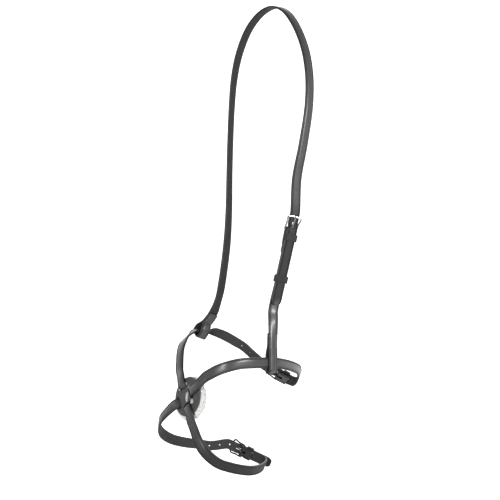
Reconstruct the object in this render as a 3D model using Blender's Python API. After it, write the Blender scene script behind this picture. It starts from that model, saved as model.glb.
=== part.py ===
"""Crossed (grackle) noseband for a bridle, as it hangs from its head strap.

The head strap runs from the loop on the off side, over the crown, to a buckle on
the near side.  A near cheek piece hangs from that buckle and ends in a loop.  Two
nose straps cross under a round leather disc on the front of the nose.  Each passes
through one cheek loop, and they are buckled together behind the jaw and under the
chin.  A fleece pad lies behind the disc.

World frame: +Z up, the origin inside the crown of the head strap where it hangs,
-Y towards the nose, +X to the near side (the left side of the horse).
Metres.
"""

from math import ceil, cos, pi, radians, sin, sqrt

import bmesh
import bpy
from mathutils import Matrix, Vector

MM = 0.001

# Straps
HEAD_WIDTH = 14.8 * MM
NOSE_WIDTH = 14.5 * MM
LEATHER = 2.8 * MM
EDGE_BEVEL = 0.6 * MM
FIT_GAP = 0.3 * MM
SKIVED_END = 1.0 * MM
SKIVE_LENGTH = 9.0 * MM
RING_SPACING = 9.0 * MM
HEAD_RING_SPACING = 13.0 * MM

# Overall lie of the head strap and the nose loops
HEAD_DROP = 471.5 * MM
HEAD_HALF_WIDTH = 77.0 * MM
NOSE_HALF_WIDTH = 70.0 * MM
NOSE_REACH = 159.0 * MM
NOSE_DROP = 170.0 * MM

# Cheek loops, one on each side, round a nose strap
LOOP_FACE_GAP = 0.6 * MM
LOOP_EDGE_GAP = 1.4 * MM
NEAR_LOOP_LAP = 32.0 * MM
OFF_LOOP_LAP = 21.0 * MM
LOOP_CLOSE = 18.0 * MM
LOOP_RUN = 20.0 * MM

# The off loop is an open eye, because the nose strap lies rolled over in it
EYE_HALF_WIDTH = 8.0 * MM
EYE_LOW = 6.9 * MM
EYE_CORNER = 2.0 * MM
EYE_HEIGHT = 14.0 * MM
EYE_ROLL = radians(57.0)

# Buckles
BUCKLE_WIRE = 2.4 * MM
BUCKLE_LENGTH = 20.0 * MM
BUCKLE_SIDE_GAP = 0.5 * MM
FRAME_CORNER = 3.2 * MM
FRAME_FLARE = 1.2 * MM
TONGUE_WIRE = 1.9 * MM
TONGUE_OVERHANG = 1.6 * MM
TONGUE_SLOT_WIDTH = 3.6 * MM
TONGUE_HOLE_LENGTH = 11.0 * MM
TONGUE_HOLE_WIDTH = 3.0 * MM
TONGUE_HOLE_SHARE = 0.34
HOLE_ROW_SHARE = 0.37
TURN_BACK = 32.0 * MM
NOSE_TURN_BACK = 15.0 * MM
CHEEK_TAIL = 104.0 * MM
JAW_TAIL = 28.0 * MM
CHIN_TAIL = 44.5 * MM
BILLET_POINT = 8.0 * MM

# Punched adjustment holes
HOLE_DIAMETER = 3.2 * MM
HOLE_PITCH = 16.0 * MM
HEAD_HOLE_PITCH = 50.0 * MM
HEAD_HOLES = 1
NOSE_HOLES = 4

# Keepers
KEEPER_LEATHER = 1.5 * MM
KEEPER_LENGTH = 9.5 * MM
CHEEK_KEEPER_FROM_BAR = 5.0 * MM
NOSE_KEEPER_FROM_BAR = 3.8 * MM
KEEPER_SIDE_GAP = 0.5 * MM
KEEPER_CORNER = 1.5 * MM
RUNNER_FROM_BAR = 68.0 * MM

# Nose disc and fleece pad
# The disc grows with the nose straps, which its slots have to hold, and keeps a margin
# of leather outside them
SLOT_SPREAD_SHARE = 1.4
DISC_MARGIN = 6.2 * MM
DISC_RADIUS = NOSE_WIDTH * SLOT_SPREAD_SHARE + DISC_MARGIN
DISC_LEATHER = 2.5 * MM
DISC_BEVEL = 0.6 * MM
DISC_TILT = radians(18.0)
DISC_TURN = radians(4.0)
DISC_ASIDE = 2.0 * MM
DISC_HEIGHT_SHARE = 0.315
SLOT_WIDTH = 7.4 * MM
SLOT_END_GAP = 0.6 * MM
STRAP_LIFT = 0.6 * MM
DIP_BEND = 4.0 * MM
DIP_SLOPE = radians(58.0)
FLEECE_RADIUS = 29.5 * MM
FLEECE_DROP = 2.0 * MM
FLEECE_THICKNESS = 11.0 * MM
FLEECE_RECESS_RADIUS = 22.0 * MM
FLEECE_RECESS_GAP = 0.5 * MM
WINDOW_LENGTH = 15.0 * MM
WINDOW_WIDTH = 5.6 * MM

# Overrun of every cutter past the skin that it cuts
CUT_OVERRUN = 2.0 * MM

# Head strap centre line from the off loop over the crown to the near buckle, as shares
# of half width, nose reach and head drop, each with the way that its grain side faces.
HEAD_ROUTE_SHARES = [
    ((-0.728, 0.340, -0.877), (-0.97, -0.08, 0.22)),
    ((-0.722, 0.310, -0.841), (-0.99, -0.06, 0.10)),
    ((-0.800, 0.205, -0.713), (-0.99, -0.10, 0.00)),
    ((-0.850, 0.157, -0.607), (-0.97, -0.22, 0.00)),
    ((-0.890, 0.130, -0.496), (-0.95, -0.30, 0.00)),
    ((-0.955, 0.090, -0.396), (-0.95, -0.30, 0.00)),
    ((-1.000, 0.050, -0.285), (-0.95, -0.28, 0.05)),
    ((-0.965, 0.034, -0.199), (-0.95, -0.20, 0.25)),
    ((-0.835, 0.027, -0.124), (-0.85, -0.12, 0.50)),
    ((-0.575, 0.020, -0.053), (-0.65, -0.05, 0.75)),
    ((-0.290, 0.005, -0.013), (-0.35, 0.00, 0.93)),
    ((0.000, 0.000, 0.000), (0.00, 0.00, 1.00)),
    ((0.290, 0.005, -0.013), (0.35, 0.00, 0.93)),
    ((0.575, 0.020, -0.053), (0.65, 0.00, 0.75)),
    ((0.835, 0.027, -0.124), (0.85, 0.00, 0.50)),
    ((0.965, 0.034, -0.199), (0.97, 0.00, 0.25)),
    ((1.000, 0.050, -0.285), (1.00, -0.03, 0.05)),
    ((0.952, 0.090, -0.396), (0.98, -0.12, 0.00)),
    ((0.870, 0.124, -0.496), (0.96, -0.24, 0.00)),
]

# Where the heel bar of the cheek buckle sits, and the way the cheek piece runs from it
CHEEK_BUCKLE_SHARES = (0.807, 0.156, -0.645)
CHEEK_RUN = (-0.046, -0.257, -0.965)
CHEEK_FACE = (0.93, -0.34, 0.04)
CHEEK_STRAIGHT = 112.0 * MM
CHEEK_BELOW_SHARES = [
    ((0.790, 0.362, -0.904), (0.94, -0.30, 0.08)),
]

# Junctions of nose straps and cheek loops, as shares of the nose sizes, each with
# the way that the nose strap runs and faces there, and the way the cheek loop pulls
NEAR_JUNCTION = ((0.960, 0.420, 0.060), (0.02, 0.97, -0.22), (1.00, -0.02, 0.06),
                 (-0.18, 0.16, 0.97))
OFF_JUNCTION = ((-0.995, 0.480, -0.063), (-0.23, -0.96, 0.18), (-0.95, 0.20, 0.05),
                (0.42, 0.35, 0.84))

# Upper near strap, from the rear turn at the jaw buckle forward to the disc
UPPER_NEAR_SHARES = [
    ((0.411, -0.065, 0.365), (-0.50, 0.84, 0.12)),
    ((0.544, -0.076, 0.360), (0.50, 0.66, -0.55)),
    ((0.655, -0.072, 0.304), (0.82, 0.50, -0.22)),
    ((0.736, -0.034, 0.238), (0.92, 0.38, -0.02)),
    ((0.832, 0.060, 0.186), (0.95, 0.30, 0.03)),
    ((0.915, 0.195, 0.128), (0.98, 0.17, 0.05)),
]
UPPER_NEAR_FRONT_SHARES = [
    ((0.945, 0.625, 0.022), (0.97, -0.22, 0.10)),
    ((0.880, 0.750, 0.010), (0.90, -0.40, 0.14)),
    ((0.770, 0.845, 0.024), (0.76, -0.62, 0.20)),
    ((0.600, 0.900, 0.060), (0.50, -0.80, 0.28)),
    ((0.460, 0.920, 0.098), (0.28, -0.91, 0.30)),
    ((0.340, 0.934, 0.132), (0.10, -0.94, 0.31)),
]

# Lower off strap, from the disc round the off side to the chin buckle
LOWER_OFF_SHARES = [
    ((-0.450, 1.062, 0.465), (-0.25, -0.93, 0.26)),
    ((-0.590, 1.092, 0.540), (-0.45, -0.87, 0.18)),
    ((-0.700, 1.080, 0.612), (-0.62, -0.78, 0.08)),
    ((-0.790, 1.038, 0.680), (-0.78, -0.62, 0.00)),
    ((-0.865, 0.968, 0.748), (-0.93, -0.36, -0.03)),
    ((-0.920, 0.855, 0.824), (-0.99, -0.12, -0.03)),
    ((-0.940, 0.690, 0.899), (-1.00, 0.05, 0.00)),
    ((-0.885, 0.560, 0.941), (-0.95, 0.30, 0.00)),
    ((-0.775, 0.455, 0.970), (-0.84, 0.54, -0.05)),
]

# Upper off strap, from the jaw buckle round the off side to the disc
JAW_BILLET_SHARES = [
    ((-0.270, 0.162, 0.130), (-0.45, 0.84, 0.30)),
    ((-0.420, 0.186, 0.085), (-0.60, 0.76, 0.25)),
    ((-0.600, 0.225, 0.045), (-0.76, 0.62, 0.15)),
    ((-0.770, 0.285, -0.002), (-0.86, 0.44, 0.20)),
    ((-0.900, 0.358, -0.038), (-0.80, 0.24, 0.48)),
]
UPPER_OFF_SHARES = [
    ((-0.985, 0.605, -0.056), (-0.46, -0.21, 0.86)),
    ((-0.890, 0.702, -0.042), (-0.48, -0.46, 0.74)),
    ((-0.788, 0.776, -0.018), (-0.26, -0.55, 0.79)),
    ((-0.685, 0.836, 0.025), (-0.18, -0.78, 0.60)),
    ((-0.575, 0.884, 0.088), (-0.03, -0.93, 0.37)),
    ((-0.460, 0.926, 0.152), (0.02, -0.95, 0.31)),
]

# Lower near strap, from the disc round the near side to the chin buckle
LOWER_NEAR_SHARES = [
    ((0.240, 1.058, 0.468), (0.04, -0.955, 0.28)),
    ((0.350, 1.060, 0.535), (0.12, -0.97, 0.18)),
    ((0.490, 1.072, 0.598), (0.36, -0.92, 0.10)),
    ((0.650, 1.062, 0.670), (0.62, -0.78, 0.02)),
    ((0.815, 0.985, 0.762), (0.85, -0.49, -0.20)),
    ((0.905, 0.880, 0.818), (0.93, -0.28, -0.24)),
    ((0.905, 0.755, 0.874), (0.96, -0.08, -0.26)),
    ((0.835, 0.620, 0.931), (0.92, 0.27, -0.28)),
    ((0.725, 0.500, 0.975), (0.88, 0.37, -0.26)),
    ((0.590, 0.380, 1.011), (0.88, 0.40, -0.24)),
    ((0.430, 0.268, 1.035), (0.62, 0.70, -0.34)),
    ((0.270, 0.212, 1.042), (-0.20, 0.93, -0.26)),
]

# Jaw and chin buckles: heel bar, the way the chape runs from it, and where it faces
JAW_BUCKLE = ((0.243, 0.000, 0.313), (0.60, 0.61, -0.52), (-0.60, 0.77, 0.22))
CHIN_BUCKLE = ((-0.185, 0.283, 0.991), (0.82, 0.46, -0.33), (-0.54, 0.80, -0.25))

# Strap passages through the disc, as shares of its radius across and up its face:
# the slot near the upper end, the slot near the lower end, and where the strap meets
# the disc's rim at each end
NEAR_PASSAGE_SHARES = ((0.210, 0.300), (-0.530, -0.470), (0.720, 0.815), (-0.800, -0.700))
OFF_PASSAGE_SHARES = ((-0.500, 0.395), (0.220, -0.390), (-0.790, 0.800), (0.590, -0.700))
WINDOW_SHARES = (-0.030, -0.010)
WINDOW_ANGLE = radians(-76.0)

# Outline of the fleece pad, from the recess wall over the front rim to the back, as
# shares of its radius and of its thickness
FLEECE_PROFILE_SHARES = [
    (0.900, 0.000),
    (0.975, 0.120),
    (1.000, 0.400),
    (0.975, 0.700),
    (0.880, 0.900),
    (0.700, 0.985),
    (0.350, 1.000),
]

LEATHER_COLOUR = (0.030, 0.030, 0.032, 1.0)
FLESH_COLOUR = (0.022, 0.022, 0.023, 1.0)
STEEL_COLOUR = (0.62, 0.63, 0.65, 1.0)
FLEECE_COLOUR = (0.86, 0.85, 0.81, 1.0)

WIRE_SIDES = 8
DISC_SIDES = 40
HOLE_SIDES = 10
BEND_STEPS = 6
BEND_ANGLE = radians(45.0)


def clear_scene():
    """Remove what the file opened with."""
    for thing in list(bpy.data.objects):
        bpy.data.objects.remove(thing, do_unlink=True)


def material(name, colour, roughness, metallic):
    """A plain Principled material."""
    surface = bpy.data.materials.new(name)
    surface.use_nodes = True
    shader = surface.node_tree.nodes["Principled BSDF"]
    shader.inputs["Base Color"].default_value = colour
    shader.inputs["Roughness"].default_value = roughness
    shader.inputs["Metallic"].default_value = metallic
    return surface


def leather_material(name):
    return material(name, LEATHER_COLOUR, 0.42, 0.0)


def steel_material(name):
    return material(name, STEEL_COLOUR, 0.22, 1.0)


def fleece_material(name):
    return material(name, FLEECE_COLOUR, 0.95, 0.0)


def add_object(name, mesh, surface, origin=Vector((0, 0, 0))):
    """Put a mesh of world places into the scene, with its own origin."""
    mesh.transform(Matrix.Translation(-origin))
    thing = bpy.data.objects.new(name, mesh)
    thing.location = origin
    mesh.materials.append(surface)
    bpy.context.scene.collection.objects.link(thing)
    return thing


def add_cutter(name, meshes):
    """Join cutter shapes into one hidden object."""
    joined = bmesh.new()
    for mesh in meshes:
        joined.from_mesh(mesh)
        bpy.data.meshes.remove(mesh)
    mesh = bpy.data.meshes.new(name)
    joined.to_mesh(mesh)
    joined.free()
    cutter = bpy.data.objects.new(name, mesh)
    cutter.hide_render = True
    cutter.display_type = "WIRE"
    bpy.context.scene.collection.objects.link(cutter)
    return cutter


def cut(thing, name, meshes):
    """Take cutter shapes out of an object with a Boolean."""
    modifier = thing.modifiers.new(name, "BOOLEAN")
    modifier.operation = "DIFFERENCE"
    modifier.solver = "EXACT"
    modifier.object = add_cutter(thing.name + "_" + name, meshes)


def mesh_from_rings(name, rings, closed=False):
    """Skin a row of equal rings of points; an open row gets flat end caps."""
    shape = bmesh.new()
    rows = [[shape.verts.new(point) for point in ring] for ring in rings]
    pairs = list(zip(rows, rows[1:]))
    if closed:
        pairs.append((rows[-1], rows[0]))
    count = len(rows[0])
    for first, second in pairs:
        for i in range(count):
            j = (i + 1) % count
            shape.faces.new((first[i], first[j], second[j], second[i]))
    if not closed:
        shape.faces.new(list(reversed(rows[0])))
        shape.faces.new(rows[-1])
    bmesh.ops.recalc_face_normals(shape, faces=shape.faces)
    mesh = bpy.data.meshes.new(name)
    shape.to_mesh(mesh)
    shape.free()
    mesh.shade_smooth()
    mesh.set_sharp_from_angle(angle=radians(40.0))
    return mesh


class Station:
    """A place on a strap's centre line and the way its grain side faces there."""

    def __init__(self, place, face):
        self.place = Vector(place)
        self.face = Vector(face).normalized()

    def raised(self, height):
        return Station(self.place + self.face * height, self.face)


def head_place(shares):
    x, y, z = shares
    return Vector((x * HEAD_HALF_WIDTH, -y * NOSE_REACH, z * HEAD_DROP))


def nose_place(shares):
    x, y, z = shares
    return Vector((x * NOSE_HALF_WIDTH, -y * NOSE_REACH, -HEAD_DROP - z * NOSE_DROP))


def head_stations(table):
    return [Station(head_place(place), face) for place, face in table]


def nose_stations(table):
    return [Station(nose_place(place), face) for place, face in table]


def spline(before, start, end, after, share):
    """A point on the centripetal Catmull-Rom curve from start to end."""
    points = (before, start, end, after)
    knots = [0.0]
    for first, second in zip(points, points[1:]):
        knots.append(knots[-1] + max(sqrt((second - first).length), 1e-6))
    t = knots[1] + (knots[2] - knots[1]) * share

    def blend(a, b, low, high):
        return (a * (high - t) + b * (t - low)) / (high - low)

    first = [blend(points[i], points[i + 1], knots[i], knots[i + 1]) for i in range(3)]
    second = [blend(first[i], first[i + 1], knots[i], knots[i + 2]) for i in range(2)]
    return blend(second[0], second[1], knots[1], knots[2])


def smooth(stations, spacing):
    """Fill a row of stations up to the spacing, along one smooth curve."""
    filled = []
    last = len(stations) - 1
    for i in range(last):
        start, end = stations[i], stations[i + 1]
        before = stations[i - 1].place if i else start.place * 2 - end.place
        after = stations[i + 2].place if i + 2 <= last else end.place * 2 - start.place
        turn = (start.place - before).angle(end.place - start.place, 0.0)
        turn += (end.place - start.place).angle(after - end.place, 0.0)
        steps = max(1, ceil((end.place - start.place).length / spacing), ceil(turn / BEND_ANGLE))
        for step in range(steps):
            share = step / steps
            place = spline(before, start.place, end.place, after, share) if step else start.place
            filled.append(Station(place, start.face.lerp(end.face, share)))
    filled.append(stations[-1])
    return squared(filled)


def tangents(stations):
    """The way along the strap at each station."""
    places = [station.place for station in stations]
    ways = []
    for i, place in enumerate(places):
        behind = places[max(i - 1, 0)]
        ahead = places[min(i + 1, len(places) - 1)]
        into = (place - behind).normalized() if i else Vector((0, 0, 0))
        out = (ahead - place).normalized() if ahead != place else Vector((0, 0, 0))
        ways.append((into + out).normalized())
    return ways


def squared(stations):
    """Turn each face square to the strap's run."""
    result = []
    for station, along in zip(stations, tangents(stations)):
        face = station.face - along * station.face.dot(along)
        result.append(Station(station.place, face))
    return result


def run_lengths(stations):
    """Distance along the strap at each station."""
    lengths = [0.0]
    for first, second in zip(stations, stations[1:]):
        lengths.append(lengths[-1] + (second.place - first.place).length)
    return lengths


def strap_section(centre, face, across, width, thickness):
    """Eight corners of a strap's section, with its edges taken off."""
    half = width / 2
    deep = thickness / 2
    off = min(EDGE_BEVEL, deep * 0.45, half * 0.45)
    corners = (
        (half, deep - off), (half - off, deep), (off - half, deep), (-half, deep - off),
        (-half, off - deep), (off - half, -deep), (half - off, -deep), (half, off - deep),
    )
    return [centre + across * u + face * v for u, v in corners]


def strap_mesh(name, stations, width, point_start=0.0, point_end=0.0, skive_start=0.0,
               skive_end=0.0):
    """A flat strap along its stations, with pointed or skived ends."""
    lengths = run_lengths(stations)
    total = lengths[-1]
    rings = []
    for station, along, length in zip(stations, tangents(stations), lengths):
        across = along.cross(station.face)
        narrow = min(point_share(length, point_start), point_share(total - length, point_end))
        thin = min(skive_share(length, skive_start), skive_share(total - length, skive_end))
        centre = station.place
        rings.append(strap_section(centre, station.face, across, width * narrow, LEATHER * thin))
    return mesh_from_rings(name, rings)


def point_share(distance, length):
    """Width of a pointed billet end, as a share of the strap's width."""
    if length <= 0 or distance >= length:
        return 1.0
    return 0.35 + 0.65 * sqrt(1 - (1 - distance / length) ** 2)


def skive_share(distance, length):
    """Thickness of a thinned end, as a share of the leather's."""
    if length <= 0 or distance >= length:
        return 1.0
    thin = SKIVED_END / LEATHER
    return thin + (1 - thin) * distance / length


def point_ends(stations, length):
    """Add stations near a strap's last end, so that its point is round."""
    last = stations[-1]
    along = tangents(stations)[-1]
    kept = [station for station in stations if (station.place - last.place).length > length]
    tip = [last.place - along * length * share for share in (1.0, 0.7, 0.4, 0.15, 0.0)]
    return kept + [Station(place, last.face) for place in tip]


def resampled_end(stations, length, spacing):
    """The strap's stations, with its last stretch filled up to a finer spacing."""
    lengths = run_lengths(stations)
    total = lengths[-1]
    cutoff = max(i for i, run in enumerate(lengths) if total - run >= length or i == 0)
    return stations[:cutoff] + smooth(stations[cutoff:], spacing)


def half_turn(centre, start, axis_way, radius):
    """Stations of a half turn round a bar, from `start` over `axis_way` to the far side."""
    turn = []
    for step in range(1, BEND_STEPS):
        angle = pi * step / BEND_STEPS
        radial = start * cos(angle) + axis_way * sin(angle)
        turn.append(Station(centre + radial * radius, radial))
    return turn


class Seat:
    """The seat of a buckle: `run` along the chape from the heel bar, `out` on its
    grain side and `across` its width.  The origin is the chape's centre line over
    the heel bar."""

    def __init__(self, origin, run, face):
        self.origin = Vector(origin)
        self.run = Vector(run).normalized()
        face = Vector(face)
        self.out = (face - self.run * face.dot(self.run)).normalized()
        self.across = self.run.cross(self.out)

    def at(self, run, out=0.0, across=0.0):
        return self.origin + self.run * run + self.out * out + self.across * across

    def station(self, run, out=0.0):
        return Station(self.at(run, out), self.out)


BAR_RADIUS = BUCKLE_WIRE / 2
TONGUE_RADIUS = TONGUE_WIRE / 2
LAYER = LEATHER + FIT_GAP
CHAPE_BEND = BAR_RADIUS + FIT_GAP + LEATHER / 2
TONGUE_BEND = BAR_RADIUS + FIT_GAP + TONGUE_RADIUS
FRONT_BAR_OUT = LEATHER / 2 + FIT_GAP + BAR_RADIUS
FRAME_RISE = FRONT_BAR_OUT + CHAPE_BEND
FRONT_BAR_RUN = -sqrt(BUCKLE_LENGTH ** 2 - FRAME_RISE ** 2)
KEEPER_POCKET = LEATHER + KEEPER_LEATHER + 2.5 * FIT_GAP


def chape_bend(seat):
    """The half turn of a chape round its heel bar, from the grain side back."""
    bar = seat.at(0, -CHAPE_BEND)
    return half_turn(bar, seat.out, -seat.run, CHAPE_BEND)


def chape_lap(body, length, keeper_start):
    """The turned back end of a chape; `body` runs up to the heel bar."""
    fine = resampled_end(body, length, SKIVE_LENGTH / 2)
    lengths = run_lengths(list(reversed(fine)))
    lap = []
    for station, run in zip(reversed(fine), lengths):
        if run > length:
            break
        depth = lap_depth(run, keeper_start + KEEPER_LENGTH)
        lap.append(Station(station.place - station.face * depth, -station.face))
    return lap


def lap_depth(run, keeper_end):
    """Depth of the turned back end behind the chape: wide over the heel bar and the
    keeper's foot, then closing on to the strap."""
    wide = max(2 * CHAPE_BEND - (2 * CHAPE_BEND - KEEPER_POCKET) * run / keeper_end,
               KEEPER_POCKET)
    share = min(max((run - keeper_end) / (KEEPER_LENGTH * 0.9), 0.0), 1.0)
    ease = share * share * (3 - 2 * share)
    return wide + (LAYER - wide) * ease


# The billet's lie through a buckle, as shares of the front bar's distance from the
# heel bar and of one layer's rise
BILLET_LIE_SHARES = [
    (1.30, 0.00), (1.00, 0.00), (0.75, 0.00), (0.60, 0.05), (0.48, 0.20), (0.32, 0.60),
    (0.18, 0.90), (0.06, 1.00),
]


def billet_stations(seat, tail):
    """The billet from ahead of the front bar to the end of its tail."""
    lie = [seat.station(share * FRONT_BAR_RUN, rise * LAYER) for share, rise in BILLET_LIE_SHARES]
    steps = max(2, ceil(tail / HEAD_RING_SPACING))
    lie += [seat.station(tail * step / steps, LAYER) for step in range(1, steps + 1)]
    return lie


def tube_mesh(name, places, radius, closed=False, across=None, taper=None):
    """A round wire along places, with its first ring's side turned `across`."""
    count = len(places)
    rings = []
    side = across
    for i, place in enumerate(places):
        if closed:
            behind, ahead = places[i - 1], places[(i + 1) % count]
        else:
            behind, ahead = places[max(i - 1, 0)], places[min(i + 1, count - 1)]
        along = (ahead - behind).normalized()
        side = (side - along * side.dot(along)).normalized()
        up = side.cross(along)
        size = radius * (taper[i] if taper else 1.0)
        rings.append([
            place + (side * cos(2 * pi * k / WIRE_SIDES) + up * sin(2 * pi * k / WIRE_SIDES)) * size
            for k in range(WIRE_SIDES)
        ])
    return mesh_from_rings(name, rings, closed)


def frame_outline(half_width):
    """Corners of a buckle frame: across, and along from the heel bar."""
    heel = half_width
    front = half_width + FRAME_FLARE
    corner = FRAME_CORNER
    outline = []

    def round_corner(x, y, start, radius):
        for step in range(4):
            angle = start + pi / 2 * step / 3
            outline.append((x + radius * cos(angle), y + radius * sin(angle)))

    round_corner(front - corner, BUCKLE_LENGTH - corner, 0.0, corner)
    round_corner(corner - front, BUCKLE_LENGTH - corner, pi / 2, corner)
    outline.append((-heel, BUCKLE_LENGTH / 2))
    round_corner(corner / 2 - heel, corner / 2, pi, corner / 2)
    round_corner(heel - corner / 2, corner / 2, 3 * pi / 2, corner / 2)
    outline.append((heel, BUCKLE_LENGTH / 2))
    return outline


def buckle_frame(name, seat, width):
    """A bent wire frame, its heel bar in the chape and its front bar over the billet."""
    half = width / 2 + BUCKLE_SIDE_GAP + BAR_RADIUS
    heel = seat.at(0, -CHAPE_BEND)
    rise = (seat.at(FRONT_BAR_RUN, FRONT_BAR_OUT) - heel).normalized()
    places = [heel + seat.across * x + rise * y for x, y in frame_outline(half)]
    normal = seat.across.cross(rise)
    mesh = tube_mesh(name, places, BAR_RADIUS, closed=True, across=normal)
    return add_object(name, mesh, steel_material(name), heel)


def buckle_tongue(name, seat):
    """The tongue: wrapped round the heel bar, through the billet, on to the front bar."""
    heel = seat.at(0, -CHAPE_BEND)
    front = seat.at(FRONT_BAR_RUN, FRONT_BAR_OUT)
    rise = (front - heel).normalized()
    normal = (seat.out - rise * seat.out.dot(rise)).normalized()
    wrap = radians(285.0)
    steps = 11
    places = []
    for step in range(steps + 1):
        angle = wrap * (1 - step / steps)
        places.append(heel + (normal * cos(angle) - rise * sin(angle)) * TONGUE_BEND)
    shank = BUCKLE_LENGTH + TONGUE_OVERHANG
    for share in (0.25, 0.5, 0.75, 0.93):
        places.append(heel + normal * TONGUE_BEND + rise * shank * share)
    places.append(heel + normal * (TONGUE_BEND - FIT_GAP / 2) + rise * shank)
    taper = [1.0] * (len(places) - 2) + [0.92, 0.6]
    mesh = tube_mesh(name, places, TONGUE_RADIUS, across=seat.across, taper=taper)
    return add_object(name, mesh, steel_material(name), heel)


def tongue_slot(seat):
    """Cutter for the slot in a chape's bend, where the tongue wraps the bar."""
    deep = 2 * CHAPE_BEND + LEATHER
    place = seat.at(TONGUE_BEND * 0.2, -CHAPE_BEND)
    length = 2 * (TONGUE_BEND + TONGUE_RADIUS + FIT_GAP) + LEATHER
    return box_mesh("slot", place, seat, length, deep + 2 * CUT_OVERRUN - LEATHER,
                    TONGUE_SLOT_WIDTH)


def box_mesh(name, centre, seat, run, out, across):
    """A box in a seat's own directions."""
    corners = []
    for x in (-0.5, 0.5):
        corners.append([
            centre + seat.run * run * x + seat.out * out * y + seat.across * across * z
            for y, z in ((-0.5, -0.5), (0.5, -0.5), (0.5, 0.5), (-0.5, 0.5))
        ])
    return mesh_from_rings(name, corners)


def stadium_mesh(name, centre, long_way, depth_way, length, width, depth):
    """A slot cutter with round ends."""
    side = long_way.cross(depth_way)
    straight = max(length - width, 0.0) / 2
    outline = []
    steps = HOLE_SIDES // 2
    for end in (1, -1):
        for step in range(steps + 1):
            angle = -pi / 2 + pi * step / steps
            outline.append((end * (straight + width / 2 * cos(angle)), end * width / 2 * sin(angle)))
    rings = [
        [centre + long_way * x + side * y + depth_way * depth * share for x, y in outline]
        for share in (-0.5, 0.5)
    ]
    return mesh_from_rings(name, rings)


def hole_mesh(station, along, length=HOLE_DIAMETER, width=HOLE_DIAMETER):
    """Cutter for a punched hole through a strap at a station."""
    return stadium_mesh("hole", station.place, along, station.face, length, width,
                        LEATHER + 2 * CUT_OVERRUN)


def tongue_hole(seat):
    """Cutter for the billet's hole that the tongue goes through."""
    centre = seat.at(TONGUE_HOLE_SHARE * FRONT_BAR_RUN, 0.45 * LAYER)
    return stadium_mesh("hole", centre, seat.run, seat.out, TONGUE_HOLE_LENGTH,
                        TONGUE_HOLE_WIDTH, LEATHER + 2 * CUT_OVERRUN)


def station_at(stations, distance):
    """A station and its run at a distance from the strap's end."""
    ordered = list(reversed(stations))
    lengths = run_lengths(ordered)
    for i in range(len(ordered) - 1):
        if lengths[i + 1] >= distance:
            share = (distance - lengths[i]) / (lengths[i + 1] - lengths[i])
            first, second = ordered[i], ordered[i + 1]
            place = first.place.lerp(second.place, share)
            station = Station(place, first.face.lerp(second.face, share))
            return station, (second.place - first.place).normalized()
    raise ValueError("the strap is too short for its holes")


def punched_holes(stations, first, pitch, count):
    """Cutters for a row of holes, counted back from the strap's end."""
    cutters = []
    for i in range(count):
        station, along = station_at(stations, first + i * pitch)
        cutters.append(hole_mesh(station, along))
    return cutters


def keeper(name, seat, run, width, low, high):
    """A leather keeper round a strap: `low` and `high` are the faces that it clears."""
    half = width / 2 + KEEPER_SIDE_GAP + KEEPER_LEATHER / 2
    bottom = low - FIT_GAP - KEEPER_LEATHER / 2
    top = high + FIT_GAP + KEEPER_LEATHER / 2
    corner = KEEPER_CORNER
    outline = []
    for x, y, start in ((half, top, 0), (-half, top, 1), (-half, bottom, 2), (half, bottom, 3)):
        cx = x - corner if x > 0 else x + corner
        cy = y - corner if y == top else y + corner
        for step in range(4):
            angle = (start + step / 3) * pi / 2
            outline.append((cx + corner * cos(angle), cy + corner * sin(angle)))
    rings = []
    count = len(outline)
    for i, (x, y) in enumerate(outline):
        place = seat.at(run, y, x)
        behind, ahead = outline[i - 1], outline[(i + 1) % count]
        along = (seat.across * (ahead[0] - behind[0]) + seat.out * (ahead[1] - behind[1])).normalized()
        outward = along.cross(seat.run)
        rings.append(keeper_section(place, outward, seat.run))
    mesh = mesh_from_rings(name, rings, closed=True)
    return add_object(name, mesh, leather_material(name), seat.at(run))


def keeper_section(place, outward, run):
    """Six corners of a keeper's band."""
    half = KEEPER_LENGTH / 2
    deep = KEEPER_LEATHER / 2
    off = deep * 0.6
    corners = ((half, -deep), (half, deep - off), (half - off, deep), (off - half, deep),
               (-half, deep - off), (-half, -deep))
    return [place + run * u + outward * v for u, v in corners]


class Loop:
    """A cheek loop round a nose strap: `up` its pull, `out` of the strap, at its centre."""

    def __init__(self, junction, lap):
        place, run, face, pull = junction
        self.centre = nose_place(place)
        self.up = Vector(pull).normalized()
        face = Vector(face)
        self.out = (face - self.up * face.dot(self.up)).normalized()
        run = Vector(run)
        self.run = (run - self.out * run.dot(self.out)).normalized()
        self.side = LEATHER + LOOP_FACE_GAP
        slant = abs(self.run.dot(self.up))
        upright = sqrt(1 - slant ** 2)
        self.low = (NOSE_WIDTH * upright + HEAD_WIDTH * slant) / 2 + LOOP_EDGE_GAP
        self.lap_end = lap + 2 * self.low

    def outer(self, height):
        return Station(self.centre + self.up * height + self.out * self.side, self.out)

    def hanging(self):
        """The outer layer, from above the nose strap down to the bend."""
        return [self.outer(height) for height in (self.low + LOOP_RUN, self.low, 0.0, -self.low)]

    def held(self):
        """The nose strap's straight stretch inside the loop."""
        reach = HEAD_WIDTH / 2 + LOOP_EDGE_GAP
        return [Station(self.centre + self.run * run, self.out) for run in (reach, 0.0, -reach)]

    def bend(self):
        """The half turn under the nose strap, from the outside in."""
        return half_turn(self.centre - self.up * self.low, self.out, -self.up, self.side)

    def lap(self, body):
        """The end turned back up the inside and closed on to the strap above."""
        fine = resampled_end(body, self.lap_end, SKIVE_LENGTH / 2)
        lengths = run_lengths(list(reversed(fine)))
        lap = []
        for station, run in zip(reversed(fine), lengths):
            if run > self.lap_end:
                break
            share = min(max((run - 2 * self.low) / LOOP_CLOSE, 0.0), 1.0)
            ease = share * share * (3 - 2 * share)
            depth = 2 * self.side + (LAYER - 2 * self.side) * ease
            lap.append(Station(station.place - station.face * depth, -station.face))
        return lap


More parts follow.
